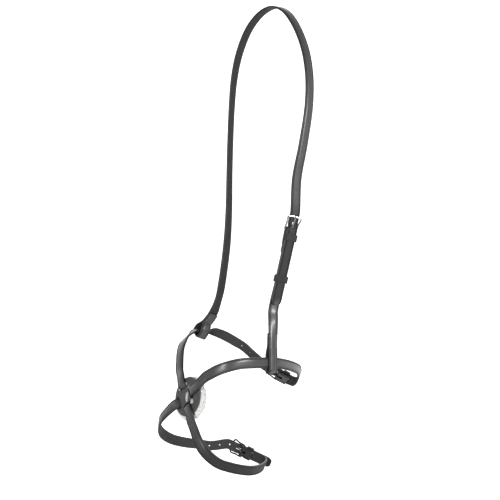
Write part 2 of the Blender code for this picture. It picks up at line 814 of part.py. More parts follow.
class Eye(Loop):
    """The off loop: a flattened eye, with the nose strap rolled over inside it."""

    def __init__(self, junction, lap):
        super().__init__(junction, lap)
        self.half = EYE_HALF_WIDTH + LEATHER / 2
        self.floor = EYE_LOW + LEATHER / 2
        self.turn = EYE_CORNER + LEATHER / 2
        self.lap_length = lap

    def spot(self, out, up, out_way, up_way):
        """A station by its place in the eye's section and the way that it faces."""
        return Station(self.centre + self.out * out + self.up * up,
                       self.out * out_way + self.up * up_way)

    def hanging(self):
        half, height = self.half, EYE_HEIGHT
        return [self.spot(0.0, height + LOOP_RUN, 1.0, 0.0),
                self.spot(half * 0.14, height * 1.08, 1.0, 0.16),
                self.spot(half * 0.58, height * 0.56, 0.86, 0.51),
                self.spot(half * 0.98, height * 0.16, 0.94, 0.34),
                self.spot(half, self.turn - self.floor, 1.0, 0.0)]

    def held(self):
        face = self.out * cos(EYE_ROLL) + self.up * sin(EYE_ROLL)
        reach = HEAD_WIDTH / 2 + LOOP_EDGE_GAP
        return [Station(self.centre + self.run * run, face) for run in (reach, 0.0, -reach)]

    def bend(self):
        """Down round the outer corner, along the bottom and up round the inner one."""
        turn = []
        for side in (1, -1):
            for step in range(BEND_STEPS):
                share = step / (BEND_STEPS - 1)
                angle = pi / 2 * (share if side > 0 else 1 - share)
                out, up = side * cos(angle), -sin(angle)
                turn.append(self.spot(side * (self.half - self.turn) + self.turn * out,
                                      self.turn - self.floor + self.turn * up, out, up))
        return turn[1:]

    def lap(self, body):
        """Up the inner side of the eye, then closed on to the strap above."""
        half, height = self.half, EYE_HEIGHT
        side = [self.spot(-half, height * 0.12, -1.0, 0.0),
                self.spot(-half * 0.86, height * 0.42, -0.90, 0.42),
                self.spot(-half * 0.52, height * 0.78, -0.86, 0.50)]
        fine = resampled_end(body, self.lap_length + height + self.floor, SKIVE_LENGTH / 2)
        ordered = list(reversed(fine))
        lap = []
        for station in ordered:
            up = (station.place - self.centre).dot(self.up)
            if height * 1.05 < up < self.low + self.lap_length:
                lap.append(Station(station.place - station.face * LAYER, -station.face))
        return side + lap


class Disc:
    """The nose disc's own directions: `across` to the near side, `up` its face."""

    def __init__(self):
        ahead = Vector((-sin(DISC_TURN), -cos(DISC_TURN), 0))
        upright = Vector((0, 0, 1))
        self.out = ahead * cos(DISC_TILT) + upright * sin(DISC_TILT)
        self.across = Vector((cos(DISC_TURN), -sin(DISC_TURN), 0))
        self.up = upright * cos(DISC_TILT) - ahead * sin(DISC_TILT)
        self.centre = Vector((-DISC_ASIDE, -NOSE_REACH, -HEAD_DROP - DISC_HEIGHT_SHARE * NOSE_DROP))

    def at(self, x, y, depth=0.0):
        """A place by distances across and up the face, and out of it."""
        return self.centre + self.across * x + self.up * y + self.out * depth

    def spot(self, shares, depth=0.0):
        return self.at(shares[0] * DISC_RADIUS, shares[1] * DISC_RADIUS, depth)


def seat_of(table):
    place, run, face = table
    return Seat(nose_place(place), run, face)


def dip(disc, slot, inward, depth):
    """Centre line through one slot, from over the disc to `depth` behind it.

    `slot` is the slot's centre on the face and `inward` the way to the middle.
    """
    over = LEATHER / 2 + STRAP_LIFT
    middle = -DISC_LEATHER / 2
    drop = DIP_BEND * (1 - cos(DIP_SLOPE))
    reach = DIP_BEND * sin(DIP_SLOPE)
    path = []
    upper_straight = (over - middle - drop) * cos(DIP_SLOPE) / sin(DIP_SLOPE)
    lower_straight = (middle - depth - drop) * cos(DIP_SLOPE) / sin(DIP_SLOPE)
    steps = 4
    for step in range(steps + 1):
        angle = DIP_SLOPE * step / steps
        path.append((-(upper_straight + reach) + DIP_BEND * sin(angle),
                     over - DIP_BEND * (1 - cos(angle))))
    for step in range(steps + 1):
        angle = DIP_SLOPE * (1 - step / steps)
        path.append((lower_straight + reach - DIP_BEND * sin(angle),
                     depth + DIP_BEND * (1 - cos(angle))))
    return [Station(slot + inward * s + disc.out * z, disc.out) for s, z in path]


def passage(disc, table, depth):
    """A strap's way over the rim, through two slots and over the rim again."""
    upper, lower, rim_upper, rim_lower = table
    high, low = disc.spot(upper), disc.spot(lower)
    inward = (low - high).normalized()
    over = LEATHER / 2 + STRAP_LIFT
    way = [Station(disc.spot(rim_upper, over), disc.out)]
    way += dip(disc, high, inward, depth)
    way += list(reversed(dip(disc, low, -inward, depth)))
    way.append(Station(disc.spot(rim_lower, over), disc.out))
    return way


def slot_cutter(disc, table, end):
    """Cutter for one of a passage's two slots, square to the strap."""
    high, low = disc.spot(table[0]), disc.spot(table[1])
    inward = (low - high).normalized()
    centre = (high, low)[end] - disc.out * DISC_LEATHER / 2
    across = inward.cross(disc.out)
    length = NOSE_WIDTH + 2 * SLOT_END_GAP + SLOT_WIDTH * 0.35
    return stadium_mesh("slot", centre, across, disc.out, length, SLOT_WIDTH,
                        DISC_LEATHER + 2 * CUT_OVERRUN)


def window_cutter(disc):
    """Cutter for the open slit in the middle, where the fleece shows."""
    way = disc.across * cos(WINDOW_ANGLE) + disc.up * sin(WINDOW_ANGLE)
    centre = disc.spot(WINDOW_SHARES, -DISC_LEATHER / 2)
    return stadium_mesh("slit", centre, way, disc.out, WINDOW_LENGTH, WINDOW_WIDTH,
                        DISC_LEATHER + 2 * CUT_OVERRUN)


def turned_mesh(name, disc, profile):
    """A round solid along the disc's axis; the profile gives each ring's radius, its
    depth and how far it drops down the face."""
    shape = bmesh.new()
    rows = []
    for radius, depth, drop in profile:
        if radius == 0:
            rows.append([shape.verts.new(disc.at(0, -drop, depth))])
            continue
        ring = []
        for step in range(DISC_SIDES):
            angle = 2 * pi * step / DISC_SIDES
            place = disc.at(radius * cos(angle), radius * sin(angle) - drop, depth)
            ring.append(shape.verts.new(place))
        rows.append(ring)
    for first, second in zip(rows, rows[1:]):
        for i in range(DISC_SIDES):
            j = (i + 1) % DISC_SIDES
            if len(first) == 1:
                shape.faces.new((first[0], second[i], second[j]))
            elif len(second) == 1:
                shape.faces.new((first[i], first[j], second[0]))
            else:
                shape.faces.new((first[i], first[j], second[j], second[i]))
    bmesh.ops.recalc_face_normals(shape, faces=shape.faces)
    mesh = bpy.data.meshes.new(name)
    shape.to_mesh(mesh)
    shape.free()
    mesh.shade_smooth()
    mesh.set_sharp_from_angle(angle=radians(40.0))
    return mesh


def build_disc(disc):
    """The leather disc with its four strap slots and the slit in the middle."""
    edge = DISC_BEVEL
    profile = [
        (0, 0, 0), (DISC_RADIUS - edge, 0, 0), (DISC_RADIUS, -edge, 0),
        (DISC_RADIUS, edge - DISC_LEATHER, 0), (DISC_RADIUS - edge, -DISC_LEATHER, 0),
        (0, -DISC_LEATHER, 0),
    ]
    mesh = turned_mesh("nose_disc", disc, profile)
    thing = add_object("nose_disc", mesh, leather_material("nose_disc"), disc.centre)
    cutters = [slot_cutter(disc, table, end)
               for table in (NEAR_PASSAGE_SHARES, OFF_PASSAGE_SHARES) for end in (0, 1)]
    cutters.append(window_cutter(disc))
    cut(thing, "slots", cutters)
    return thing


def build_fleece(disc, deepest):
    """The fleece pad, with a recess in front for the two crossed straps."""
    front = -DISC_LEATHER - FIT_GAP
    floor = deepest - LEATHER / 2 - FLEECE_RECESS_GAP
    profile = [(0, floor, 0), (FLEECE_RECESS_RADIUS, floor, 0), (FLEECE_RECESS_RADIUS, front, 0)]
    for radius, depth in FLEECE_PROFILE_SHARES:
        profile.append((radius * FLEECE_RADIUS, front - depth * FLEECE_THICKNESS, FLEECE_DROP))
    profile.append((0, front - FLEECE_THICKNESS, FLEECE_DROP))
    mesh = turned_mesh("fleece_pad", disc, profile)
    return add_object("fleece_pad", mesh, fleece_material("fleece_pad"), disc.centre)


def build_head_strap(loop, seat):
    """The head strap: off loop, crown, and the billet through the cheek buckle."""
    down = loop.hanging()
    route = head_stations(HEAD_ROUTE_SHARES)
    billet = billet_stations(seat, CHEEK_TAIL)
    body = smooth(list(reversed(down)) + route + billet, HEAD_RING_SPACING)
    lap = loop.lap(list(reversed(body)))
    start = list(reversed(lap)) + list(reversed(loop.bend()))
    stations = squared(start + point_ends(body, BILLET_POINT))
    mesh = strap_mesh("head_strap", stations, HEAD_WIDTH, point_end=BILLET_POINT,
                      skive_start=SKIVE_LENGTH)
    thing = add_object("head_strap", mesh, leather_material("head_strap"))
    first = CHEEK_TAIL - HOLE_ROW_SHARE * FRONT_BAR_RUN
    cutters = punched_holes(body, first + HEAD_HOLE_PITCH, HEAD_HOLE_PITCH, HEAD_HOLES)
    cutters.append(tongue_hole(seat))
    cut(thing, "holes", cutters)
    return thing


def build_cheek_strap(loop, seat):
    """The near cheek piece: chape at the buckle, loop round the nose strap."""
    straight = [seat.station(run) for run in (0.0, CHEEK_STRAIGHT / 3, 2 * CHEEK_STRAIGHT / 3,
                                              CHEEK_STRAIGHT)]
    down = loop.hanging()
    body = smooth(straight + head_stations(CHEEK_BELOW_SHARES) + down, HEAD_RING_SPACING)
    top_lap = chape_lap(list(reversed(body)), TURN_BACK, CHEEK_KEEPER_FROM_BAR)
    bottom_lap = loop.lap(body)
    stations = (list(reversed(top_lap)) + list(reversed(chape_bend(seat))) + body
                + loop.bend() + bottom_lap)
    mesh = strap_mesh("near_cheek_strap", squared(stations), HEAD_WIDTH,
                      skive_start=SKIVE_LENGTH, skive_end=SKIVE_LENGTH)
    thing = add_object("near_cheek_strap", mesh, leather_material("near_cheek_strap"))
    cut(thing, "slot", [tongue_slot(seat)])
    return thing


def nose_chape(seat):
    """The straight start of a nose strap, from the heel bar through its keeper."""
    keeper_end = NOSE_KEEPER_FROM_BAR + KEEPER_LENGTH
    middle = NOSE_KEEPER_FROM_BAR + KEEPER_LENGTH / 2
    return [seat.station(run) for run in (0.0, NOSE_KEEPER_FROM_BAR, middle, keeper_end,
                                          NOSE_TURN_BACK)]


def build_near_to_off_strap(disc, depth, jaw, chin):
    """The nose strap that carries the jaw buckle and ends as the chin billet."""
    junction = Loop(NEAR_JUNCTION, NEAR_LOOP_LAP)
    chape = nose_chape(jaw)
    route = chape + nose_stations(UPPER_NEAR_SHARES)
    route += junction.held() + nose_stations(UPPER_NEAR_FRONT_SHARES) + passage(disc, NEAR_PASSAGE_SHARES, depth)
    route += nose_stations(LOWER_OFF_SHARES) + billet_stations(chin, CHIN_TAIL)
    body = smooth(route, RING_SPACING)
    lap = chape_lap(list(reversed(body)), NOSE_TURN_BACK, NOSE_KEEPER_FROM_BAR)
    start = list(reversed(lap)) + list(reversed(chape_bend(jaw)))
    stations = squared(start + point_ends(body, BILLET_POINT))
    name = "near_to_off_strap"
    mesh = strap_mesh(name, stations, NOSE_WIDTH, point_end=BILLET_POINT,
                      skive_start=SKIVE_LENGTH)
    thing = add_object(name, mesh, leather_material(name))
    first = CHIN_TAIL - HOLE_ROW_SHARE * FRONT_BAR_RUN + HOLE_PITCH
    cutters = punched_holes(body, first, HOLE_PITCH, NOSE_HOLES)
    cutters += [tongue_hole(chin), tongue_slot(jaw)]
    cut(thing, "holes", cutters)
    return thing


def build_off_to_near_strap(disc, depth, jaw, chin):
    """The nose strap that starts as the jaw billet and carries the chin buckle."""
    junction = Eye(OFF_JUNCTION, OFF_LOOP_LAP)
    chape = nose_chape(chin)
    route = chape + list(reversed(nose_stations(LOWER_NEAR_SHARES)))
    route += list(reversed(passage(disc, OFF_PASSAGE_SHARES, depth)))
    route += list(reversed(nose_stations(UPPER_OFF_SHARES)))
    route += junction.held() + list(reversed(nose_stations(JAW_BILLET_SHARES))) + billet_stations(jaw, JAW_TAIL)
    body = smooth(route, RING_SPACING)
    lap = chape_lap(list(reversed(body)), NOSE_TURN_BACK, NOSE_KEEPER_FROM_BAR)
    start = list(reversed(lap)) + list(reversed(chape_bend(chin)))
    stations = squared(start + point_ends(body, BILLET_POINT))
    name = "off_to_near_strap"
    mesh = strap_mesh(name, stations, NOSE_WIDTH, point_end=BILLET_POINT,
                      skive_start=SKIVE_LENGTH)
    thing = add_object(name, mesh, leather_material(name))
    first = JAW_TAIL - HOLE_ROW_SHARE * FRONT_BAR_RUN + HOLE_PITCH
    cutters = punched_holes(body, first, HOLE_PITCH, NOSE_HOLES)
    cutters += [tongue_hole(jaw), tongue_slot(chin)]
    cut(thing, "holes", cutters)
    return thing


def build_buckle(name, seat, width, keeper_start):
    """A buckle's frame, tongue and fixed keeper."""
    buckle_frame(name + "_buckle_frame", seat, width)
    buckle_tongue(name + "_buckle_tongue", seat)
    middle = keeper_start + KEEPER_LENGTH / 2
    keeper(name + "_fixed_keeper", seat, middle, width, -LEATHER / 2, LAYER + LEATHER / 2)


def build():
    clear_scene()
    disc = Disc()
    shallow = -DISC_LEATHER - STRAP_LIFT - LEATHER / 2
    deep = shallow - LAYER
    cheek = Seat(head_place(CHEEK_BUCKLE_SHARES), CHEEK_RUN, CHEEK_FACE)
    jaw = seat_of(JAW_BUCKLE)
    chin = seat_of(CHIN_BUCKLE)
    build_head_strap(Eye(OFF_JUNCTION, OFF_LOOP_LAP), cheek)
    build_cheek_strap(Loop(NEAR_JUNCTION, NEAR_LOOP_LAP), cheek)
    build_near_to_off_strap(disc, shallow, jaw, chin)
    build_off_to_near_strap(disc, deep, jaw, chin)
    build_buckle("cheek", cheek, HEAD_WIDTH, CHEEK_KEEPER_FROM_BAR)
    build_buckle("jaw", jaw, NOSE_WIDTH, NOSE_KEEPER_FROM_BAR)
    build_buckle("chin", chin, NOSE_WIDTH, NOSE_KEEPER_FROM_BAR)
    keeper("cheek_runner_keeper", cheek, RUNNER_FROM_BAR, HEAD_WIDTH, -LEATHER / 2,
           LAYER + LEATHER / 2)
    build_disc(disc)
    build_fleece(disc, deep)


build()
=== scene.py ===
"""Crossed leather noseband on its head strap, dressed for the camera.

Creased black leather straps with stitched laps, a bright cheek buckle and two rougher ones
darkened with painted shade, a slotted nose disc and a curly white fleece behind it, hung in
a plain pale studio.  Metres, +Z up, the nose towards -Y and the near side at +X.
"""

import random
from math import ceil, cos, pi, radians, sin, sqrt

import bmesh
import bpy
from bpy.props import FloatProperty, FloatVectorProperty, IntProperty, PointerProperty
from mathutils import Matrix, Vector, noise


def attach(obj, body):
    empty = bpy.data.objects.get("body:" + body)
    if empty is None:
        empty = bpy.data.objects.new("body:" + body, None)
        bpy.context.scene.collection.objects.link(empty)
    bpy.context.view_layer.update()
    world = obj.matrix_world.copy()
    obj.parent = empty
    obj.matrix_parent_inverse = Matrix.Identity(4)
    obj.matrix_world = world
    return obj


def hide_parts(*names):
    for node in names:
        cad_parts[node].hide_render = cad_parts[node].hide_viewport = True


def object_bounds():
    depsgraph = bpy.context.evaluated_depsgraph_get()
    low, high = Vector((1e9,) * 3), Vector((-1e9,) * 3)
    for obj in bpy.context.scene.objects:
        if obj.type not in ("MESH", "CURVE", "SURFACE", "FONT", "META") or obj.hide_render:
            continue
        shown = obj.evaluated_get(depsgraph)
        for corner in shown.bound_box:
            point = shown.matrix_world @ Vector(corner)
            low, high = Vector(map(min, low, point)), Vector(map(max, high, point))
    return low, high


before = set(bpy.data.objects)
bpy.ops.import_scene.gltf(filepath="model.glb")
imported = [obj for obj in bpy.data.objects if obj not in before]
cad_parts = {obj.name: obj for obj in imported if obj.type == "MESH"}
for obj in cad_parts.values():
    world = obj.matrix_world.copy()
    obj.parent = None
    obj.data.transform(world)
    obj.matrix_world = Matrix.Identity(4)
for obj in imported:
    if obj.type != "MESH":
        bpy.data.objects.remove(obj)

bl_info = {
    "name": "Crossed Noseband",
    "version": (1, 0, 0),
    "blender": (4, 5, 0),
    "location": "View3D > Sidebar > Noseband",
    "description": "Dresses a crossed leather noseband with its fleece and buckles",
    "category": "Object",
}

CAD_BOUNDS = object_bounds()
MM = 0.001

# Sizes that the solids give: straps, loops, buckles, disc
HEAD_WIDTH = 14.8 * MM
NOSE_WIDTH = 14.5 * MM
LEATHER = 2.8 * MM
FIT_GAP = 0.3 * MM
SKIVED_END = 1.0 * MM
SKIVE_LENGTH = 9.0 * MM
HEAD_DROP = 471.5 * MM
HEAD_HALF_WIDTH = 77.0 * MM
NOSE_HALF_WIDTH = 70.0 * MM
NOSE_REACH = 159.0 * MM
NOSE_DROP = 170.0 * MM
LOOP_FACE_GAP = 0.6 * MM
LOOP_EDGE_GAP = 1.4 * MM
NEAR_LOOP_LAP = 32.0 * MM
OFF_LOOP_LAP = 21.0 * MM
LOOP_CLOSE = 18.0 * MM
LOOP_RUN = 20.0 * MM
EYE_HALF_WIDTH = 8.0 * MM
EYE_LOW = 6.9 * MM
EYE_CORNER = 2.0 * MM
EYE_HEIGHT = 14.0 * MM
EYE_ROLL = radians(57.0)
BUCKLE_WIRE = 2.4 * MM
BUCKLE_LENGTH = 20.0 * MM
TONGUE_WIRE = 1.9 * MM
TONGUE_SLOT_WIDTH = 3.6 * MM
TONGUE_HOLE_LENGTH = 11.0 * MM
TONGUE_HOLE_WIDTH = 3.0 * MM
TURN_BACK = 32.0 * MM
NOSE_TURN_BACK = 15.0 * MM
CHEEK_TAIL = 104.0 * MM
JAW_TAIL = 28.0 * MM
CHIN_TAIL = 44.5 * MM
BILLET_POINT = 8.0 * MM
# The leather springs back round a punched hole and leaves less of it open
SEEN_HOLE_DIAMETER = 2.5 * MM
SEEN_HEAD_HOLE_DIAMETER = 1.9 * MM
HOLE_PITCH = 16.0 * MM
HEAD_HOLE_PITCH = 50.0 * MM
HEAD_HOLES = 1
NOSE_HOLES = 4
KEEPER_LEATHER = 1.5 * MM
KEEPER_LENGTH = 9.5 * MM
CHEEK_KEEPER_FROM_BAR = 5.0 * MM
NOSE_KEEPER_FROM_BAR = 3.8 * MM
CHEEK_STRAIGHT = 112.0 * MM
DISC_RADIUS = 26.5 * MM
DISC_LEATHER = 2.5 * MM
DISC_TILT = radians(18.0)
DISC_TURN = radians(4.0)
DISC_ASIDE = 2.0 * MM
DISC_HEIGHT_SHARE = 0.315
STRAP_LIFT = 0.6 * MM
DIP_BEND = 4.0 * MM
DIP_SLOPE = radians(58.0)
SLOT_WIDTH = 7.4 * MM
WINDOW_LENGTH = 15.0 * MM
WINDOW_WIDTH = 5.6 * MM
WINDOW = (-0.030, -0.010)
WINDOW_ANGLE = radians(-76.0)
FLEECE_RADIUS = 29.5 * MM
FLEECE_DROP = 2.0 * MM
FLEECE_THICKNESS = 11.0 * MM
FLEECE_RECESS_RADIUS = 22.0 * MM
FLEECE_RECESS_GAP = 0.5 * MM

BAR_RADIUS = BUCKLE_WIRE / 2
TONGUE_RADIUS = TONGUE_WIRE / 2
LAYER = LEATHER + FIT_GAP
CHAPE_BEND = BAR_RADIUS + FIT_GAP + LEATHER / 2
TONGUE_BEND = BAR_RADIUS + FIT_GAP + TONGUE_RADIUS
FRONT_BAR_OUT = LEATHER / 2 + FIT_GAP + BAR_RADIUS
FRONT_BAR_RUN = -sqrt(BUCKLE_LENGTH ** 2 - (FRONT_BAR_OUT + CHAPE_BEND) ** 2)
KEEPER_POCKET = LEATHER + KEEPER_LEATHER + 2.5 * FIT_GAP
# How far a cutter reaches past the leather, where the row of holes starts, and where the
# tongue's hole lies: shares of the way to the front bar and of the rise to the top layer
CUT_OVERRUN = 4.0 * MM
HOLE_ROW_SHARE = 0.37
TONGUE_HOLE_SHARES = (0.34, 0.45)
# How wide a billet's point still is, as a share of the strap
POINT_SHARE = 0.35
# The eye's outer wall downwards and its inner wall upwards: shares of its half width and
# of its height, and the way that the grain side faces; the lap closes on the strap above
EYE_OUTER = ((0.14, 1.08, 1.0, 0.16), (0.58, 0.56, 0.86, 0.51), (0.98, 0.16, 0.94, 0.34))
EYE_INNER = ((-1.0, 0.12, -1.0, 0.0), (-0.86, 0.42, -0.90, 0.42), (-0.52, 0.78, -0.86, 0.50))
EYE_CLOSED = 1.05
# How far the stitching stays clear of the keeper, the loop and the end of a lap
LAP_MARGIN = 2.0 * MM
LOOP_MARGINS = (12.0 * MM, 3.0 * MM)
NOSE_MARGIN = 0.6 * MM
NOSE_STITCHING = 1.0 * MM

# Where the photograph was taken from: how far round from the nose to the near side,
# how far down from the crown, and how far it looks down and to its left
CAMERA_DISTANCE = 1.1
CAMERA_ROUND = radians(45.0)
CAMERA_DROP = 172.5 * MM
CAMERA_DIP = radians(8.7)
CAMERA_SWING = radians(1.65)
FOCAL_PIXELS = 764
PHOTO_PIXELS = 500
SENSOR_WIDTH = 36

# The floor's paper, which bends up behind the noseband and glows there
FLOOR_AWAY = (-6.4, 1.8)
FLOOR_HALF_WIDTH = 9.0
FLOOR_BEND = 0.9
FLOOR_BEND_STEPS = 16
BACKDROP_RISE = 3.2
BACKDROP_GLOW = (0.25, 0.75)
# Lamps: where each stands, where it aims, its size and its share of the key light's power
LAMPS = {
    "key_light": ((0.50, -1.75, -0.10), (0, -0.1, -0.45), (0.6, 0.7), 0.35),
    "side_light": ((1.75, 0.15, -0.10), (0, 0, -0.43), (0.7, 0.24), 0.33),
}

# How finely each thing is drawn
RING_SPACING = 3.0 * MM
BEND_ANGLE = radians(14.0)
BEND_STEPS = 14
DIP_STEPS = 4
POINT_STEPS = 10
HOLE_STEPS = 12
BILLET_STEP = 13.0 * MM
FLEECE_SIDES = 84
CURL_STEPS = 6

# Head strap centre line, off loop over the crown to the near buckle, as shares of half
# width, reach and drop, each with the way that its grain side faces
HEAD_ROUTE = [
    ((-0.728, 0.340, -0.877), (-0.97, -0.08, 0.22)),
    ((-0.722, 0.310, -0.841), (-0.99, -0.06, 0.10)),
    ((-0.800, 0.205, -0.713), (-0.99, -0.10, 0.00)),
    ((-0.850, 0.157, -0.607), (-0.97, -0.22, 0.00)),
    ((-0.890, 0.130, -0.496), (-0.95, -0.30, 0.00)),
    ((-0.955, 0.090, -0.396), (-0.95, -0.30, 0.00)),
    ((-1.000, 0.050, -0.285), (-0.95, -0.28, 0.05)),
    ((-0.965, 0.034, -0.199), (-0.95, -0.20, 0.25)),
    ((-0.835, 0.027, -0.124), (-0.85, -0.12, 0.50)),
    ((-0.575, 0.020, -0.053), (-0.65, -0.05, 0.75)),
    ((-0.290, 0.005, -0.013), (-0.35, 0.00, 0.93)),
    ((0.000, 0.000, 0.000), (0.00, 0.00, 1.00)),
    ((0.290, 0.005, -0.013), (0.35, 0.00, 0.93)),
    ((0.575, 0.020, -0.053), (0.65, 0.00, 0.75)),
    ((0.835, 0.027, -0.124), (0.85, 0.00, 0.50)),
    ((0.965, 0.034, -0.199), (0.97, 0.00, 0.25)),
    ((1.000, 0.050, -0.285), (1.00, -0.03, 0.05)),
    ((0.952, 0.090, -0.396), (0.98, -0.12, 0.00)),
    ((0.870, 0.124, -0.496), (0.96, -0.24, 0.00)),
]
CHEEK_BUCKLE = ((0.807, 0.156, -0.645), (-0.046, -0.257, -0.965), (0.93, -0.34, 0.04))
CHEEK_BELOW = [((0.790, 0.362, -0.904), (0.94, -0.30, 0.08))]

# Where the cheek loops hold the nose straps: place, run, face and the loop's pull
NEAR_JUNCTION = ((0.960, 0.420, 0.060), (0.02, 0.97, -0.22), (1.00, -0.02, 0.06),
                 (-0.18, 0.16, 0.97))
OFF_JUNCTION = ((-0.995, 0.480, -0.063), (-0.23, -0.96, 0.18), (-0.95, 0.20, 0.05),
                (0.42, 0.35, 0.84))

# Nose straps, as shares of half width, reach and drop below the cheeks
UPPER_NEAR = [
    ((0.411, -0.065, 0.365), (-0.50, 0.84, 0.12)),
    ((0.544, -0.076, 0.360), (0.50, 0.66, -0.55)),
    ((0.655, -0.072, 0.304), (0.82, 0.50, -0.22)),
    ((0.736, -0.034, 0.238), (0.92, 0.38, -0.02)),
    ((0.832, 0.060, 0.186), (0.95, 0.30, 0.03)),
    ((0.915, 0.195, 0.128), (0.98, 0.17, 0.05)),
]
UPPER_NEAR_FRONT = [
    ((0.945, 0.625, 0.022), (0.97, -0.22, 0.10)),
    ((0.880, 0.750, 0.010), (0.90, -0.40, 0.14)),
    ((0.770, 0.845, 0.024), (0.76, -0.62, 0.20)),
    ((0.600, 0.900, 0.060), (0.50, -0.80, 0.28)),
    ((0.460, 0.920, 0.098), (0.28, -0.91, 0.30)),
    ((0.340, 0.934, 0.132), (0.10, -0.94, 0.31)),
]
LOWER_OFF = [
    ((-0.450, 1.062, 0.465), (-0.25, -0.93, 0.26)),
    ((-0.590, 1.092, 0.540), (-0.45, -0.87, 0.18)),
    ((-0.700, 1.080, 0.612), (-0.62, -0.78, 0.08)),
    ((-0.790, 1.038, 0.680), (-0.78, -0.62, 0.00)),
    ((-0.865, 0.968, 0.748), (-0.93, -0.36, -0.03)),
    ((-0.920, 0.855, 0.824), (-0.99, -0.12, -0.03)),
    ((-0.940, 0.690, 0.899), (-1.00, 0.05, 0.00)),
    ((-0.885, 0.560, 0.941), (-0.95, 0.30, 0.00)),
    ((-0.775, 0.455, 0.970), (-0.84, 0.54, -0.05)),
]
JAW_BILLET = [
    ((-0.270, 0.162, 0.130), (-0.45, 0.84, 0.30)),
    ((-0.420, 0.186, 0.085), (-0.60, 0.76, 0.25)),
    ((-0.600, 0.225, 0.045), (-0.76, 0.62, 0.15)),
    ((-0.770, 0.285, -0.002), (-0.86, 0.44, 0.20)),
    ((-0.900, 0.358, -0.038), (-0.80, 0.24, 0.48)),
]
UPPER_OFF = [
    ((-0.985, 0.605, -0.056), (-0.46, -0.21, 0.86)),
    ((-0.890, 0.702, -0.042), (-0.48, -0.46, 0.74)),
    ((-0.788, 0.776, -0.018), (-0.26, -0.55, 0.79)),
    ((-0.685, 0.836, 0.025), (-0.18, -0.78, 0.60)),
    ((-0.575, 0.884, 0.088), (-0.03, -0.93, 0.37)),
    ((-0.460, 0.926, 0.152), (0.02, -0.95, 0.31)),
]
LOWER_NEAR = [
    ((0.240, 1.058, 0.468), (0.04, -0.955, 0.28)),
    ((0.350, 1.060, 0.535), (0.12, -0.97, 0.18)),
    ((0.490, 1.072, 0.598), (0.36, -0.92, 0.10)),
    ((0.650, 1.062, 0.670), (0.62, -0.78, 0.02)),
    ((0.815, 0.985, 0.762), (0.85, -0.49, -0.20)),
    ((0.905, 0.880, 0.818), (0.93, -0.28, -0.24)),
    ((0.905, 0.755, 0.874), (0.96, -0.08, -0.26)),
    ((0.835, 0.620, 0.931), (0.92, 0.27, -0.28)),
    ((0.725, 0.500, 0.975), (0.88, 0.37, -0.26)),
    ((0.590, 0.380, 1.011), (0.88, 0.40, -0.24)),
    ((0.430, 0.268, 1.035), (0.62, 0.70, -0.34)),
    ((0.270, 0.212, 1.042), (-0.20, 0.93, -0.26)),
]
JAW_BUCKLE = ((0.243, 0.000, 0.313), (0.60, 0.61, -0.52), (-0.60, 0.77, 0.22))
CHIN_BUCKLE = ((-0.185, 0.283, 0.991), (0.82, 0.46, -0.33), (-0.54, 0.80, -0.25))

# Slots that each nose strap dips through, and where it crosses the disc's rim
NEAR_PASSAGE = ((0.210, 0.300), (-0.530, -0.470), (0.720, 0.815), (-0.800, -0.700))
OFF_PASSAGE = ((-0.500, 0.395), (0.220, -0.390), (-0.790, 0.800), (0.590, -0.700))

# The pad's section from its rim round to its back, as shares of its radius and thickness
FLEECE_SECTION = (
    (0.90, 0.0), (0.955, 0.06), (0.985, 0.2), (1.0, 0.4), (0.985, 0.6), (0.95, 0.78),
    (0.88, 0.90), (0.79, 0.96), (0.70, 0.985), (0.50, 0.995), (0.25, 1.0), (0.0, 1.0),
)
SOFT_ENOUGH = 0.9
CURL_RADIUS = 0.62 * MM
TUFT_CURL_RADIUS = 0.36 * MM
CURL_TIP_RADIUS = 0.08 * MM
CURL_COVER = 0.6 * MM
TUFT_LIFT = 0.45 * MM
# How deep and how high wool stands in the slit, at a slot's end and spilt on the disc
SLIT_WOOL = (-2.9 * MM, 0.7 * MM)
SLOT_WOOL = (-2.2 * MM, 0.6 * MM)
SPILT_WOOL = (0.1 * MM, 1.5 * MM)
TUFT_INSET = 0.15 * MM
TUFT_TOP = 0.2 * MM
TUFT_SWELL = 0.6 * MM
# The wool in the slit and the slots, and spilt beside them, is darkened by this share: painted
# shade
SLOT_WOOL_SHADE_SHARE = 0.7
# Slot ends where wool comes up: the passage, its upper or lower slot, which side of the
# strap, and how far the wool spills over the disc
TUFTS = [
    (NEAR_PASSAGE, 0, 1, 0.0), (OFF_PASSAGE, 0, 1, 0.0), (OFF_PASSAGE, 0, -1, 0.0),
    (OFF_PASSAGE, 1, -1, 2.0 * MM),
]

# How a billet lies at its buckle: shares of the way to the front bar and of one layer
BILLET_LIE = [
    (1.30, 0.00), (1.00, 0.00), (0.75, 0.00), (0.60, 0.05), (0.48, 0.20), (0.32, 0.60),
    (0.18, 0.90), (0.06, 1.00),
]
# One stitch: shares of its half length and of the thread's thickness
STITCH_SHAPE = ((-1.0, 0.25), (-0.8, 0.75), (-0.35, 1.0), (0.35, 1.0), (0.8, 0.75), (1.0, 0.25))
STITCH_SHARE = 0.40
STITCH_SLANT = 0.18
# How much painted shade darkens the leather and takes off its gloss, at each drop below the crown
PAINTED_SHADE_BANDS = ((0.265, 0.0), (0.285, 0.95), (0.396, 0.95), (0.404, 0.0), (0.550, 0.0), (0.590, 1.0))
# The materials of a strap, by their places in its list
GRAIN, FLESH, EDGE = range(3)


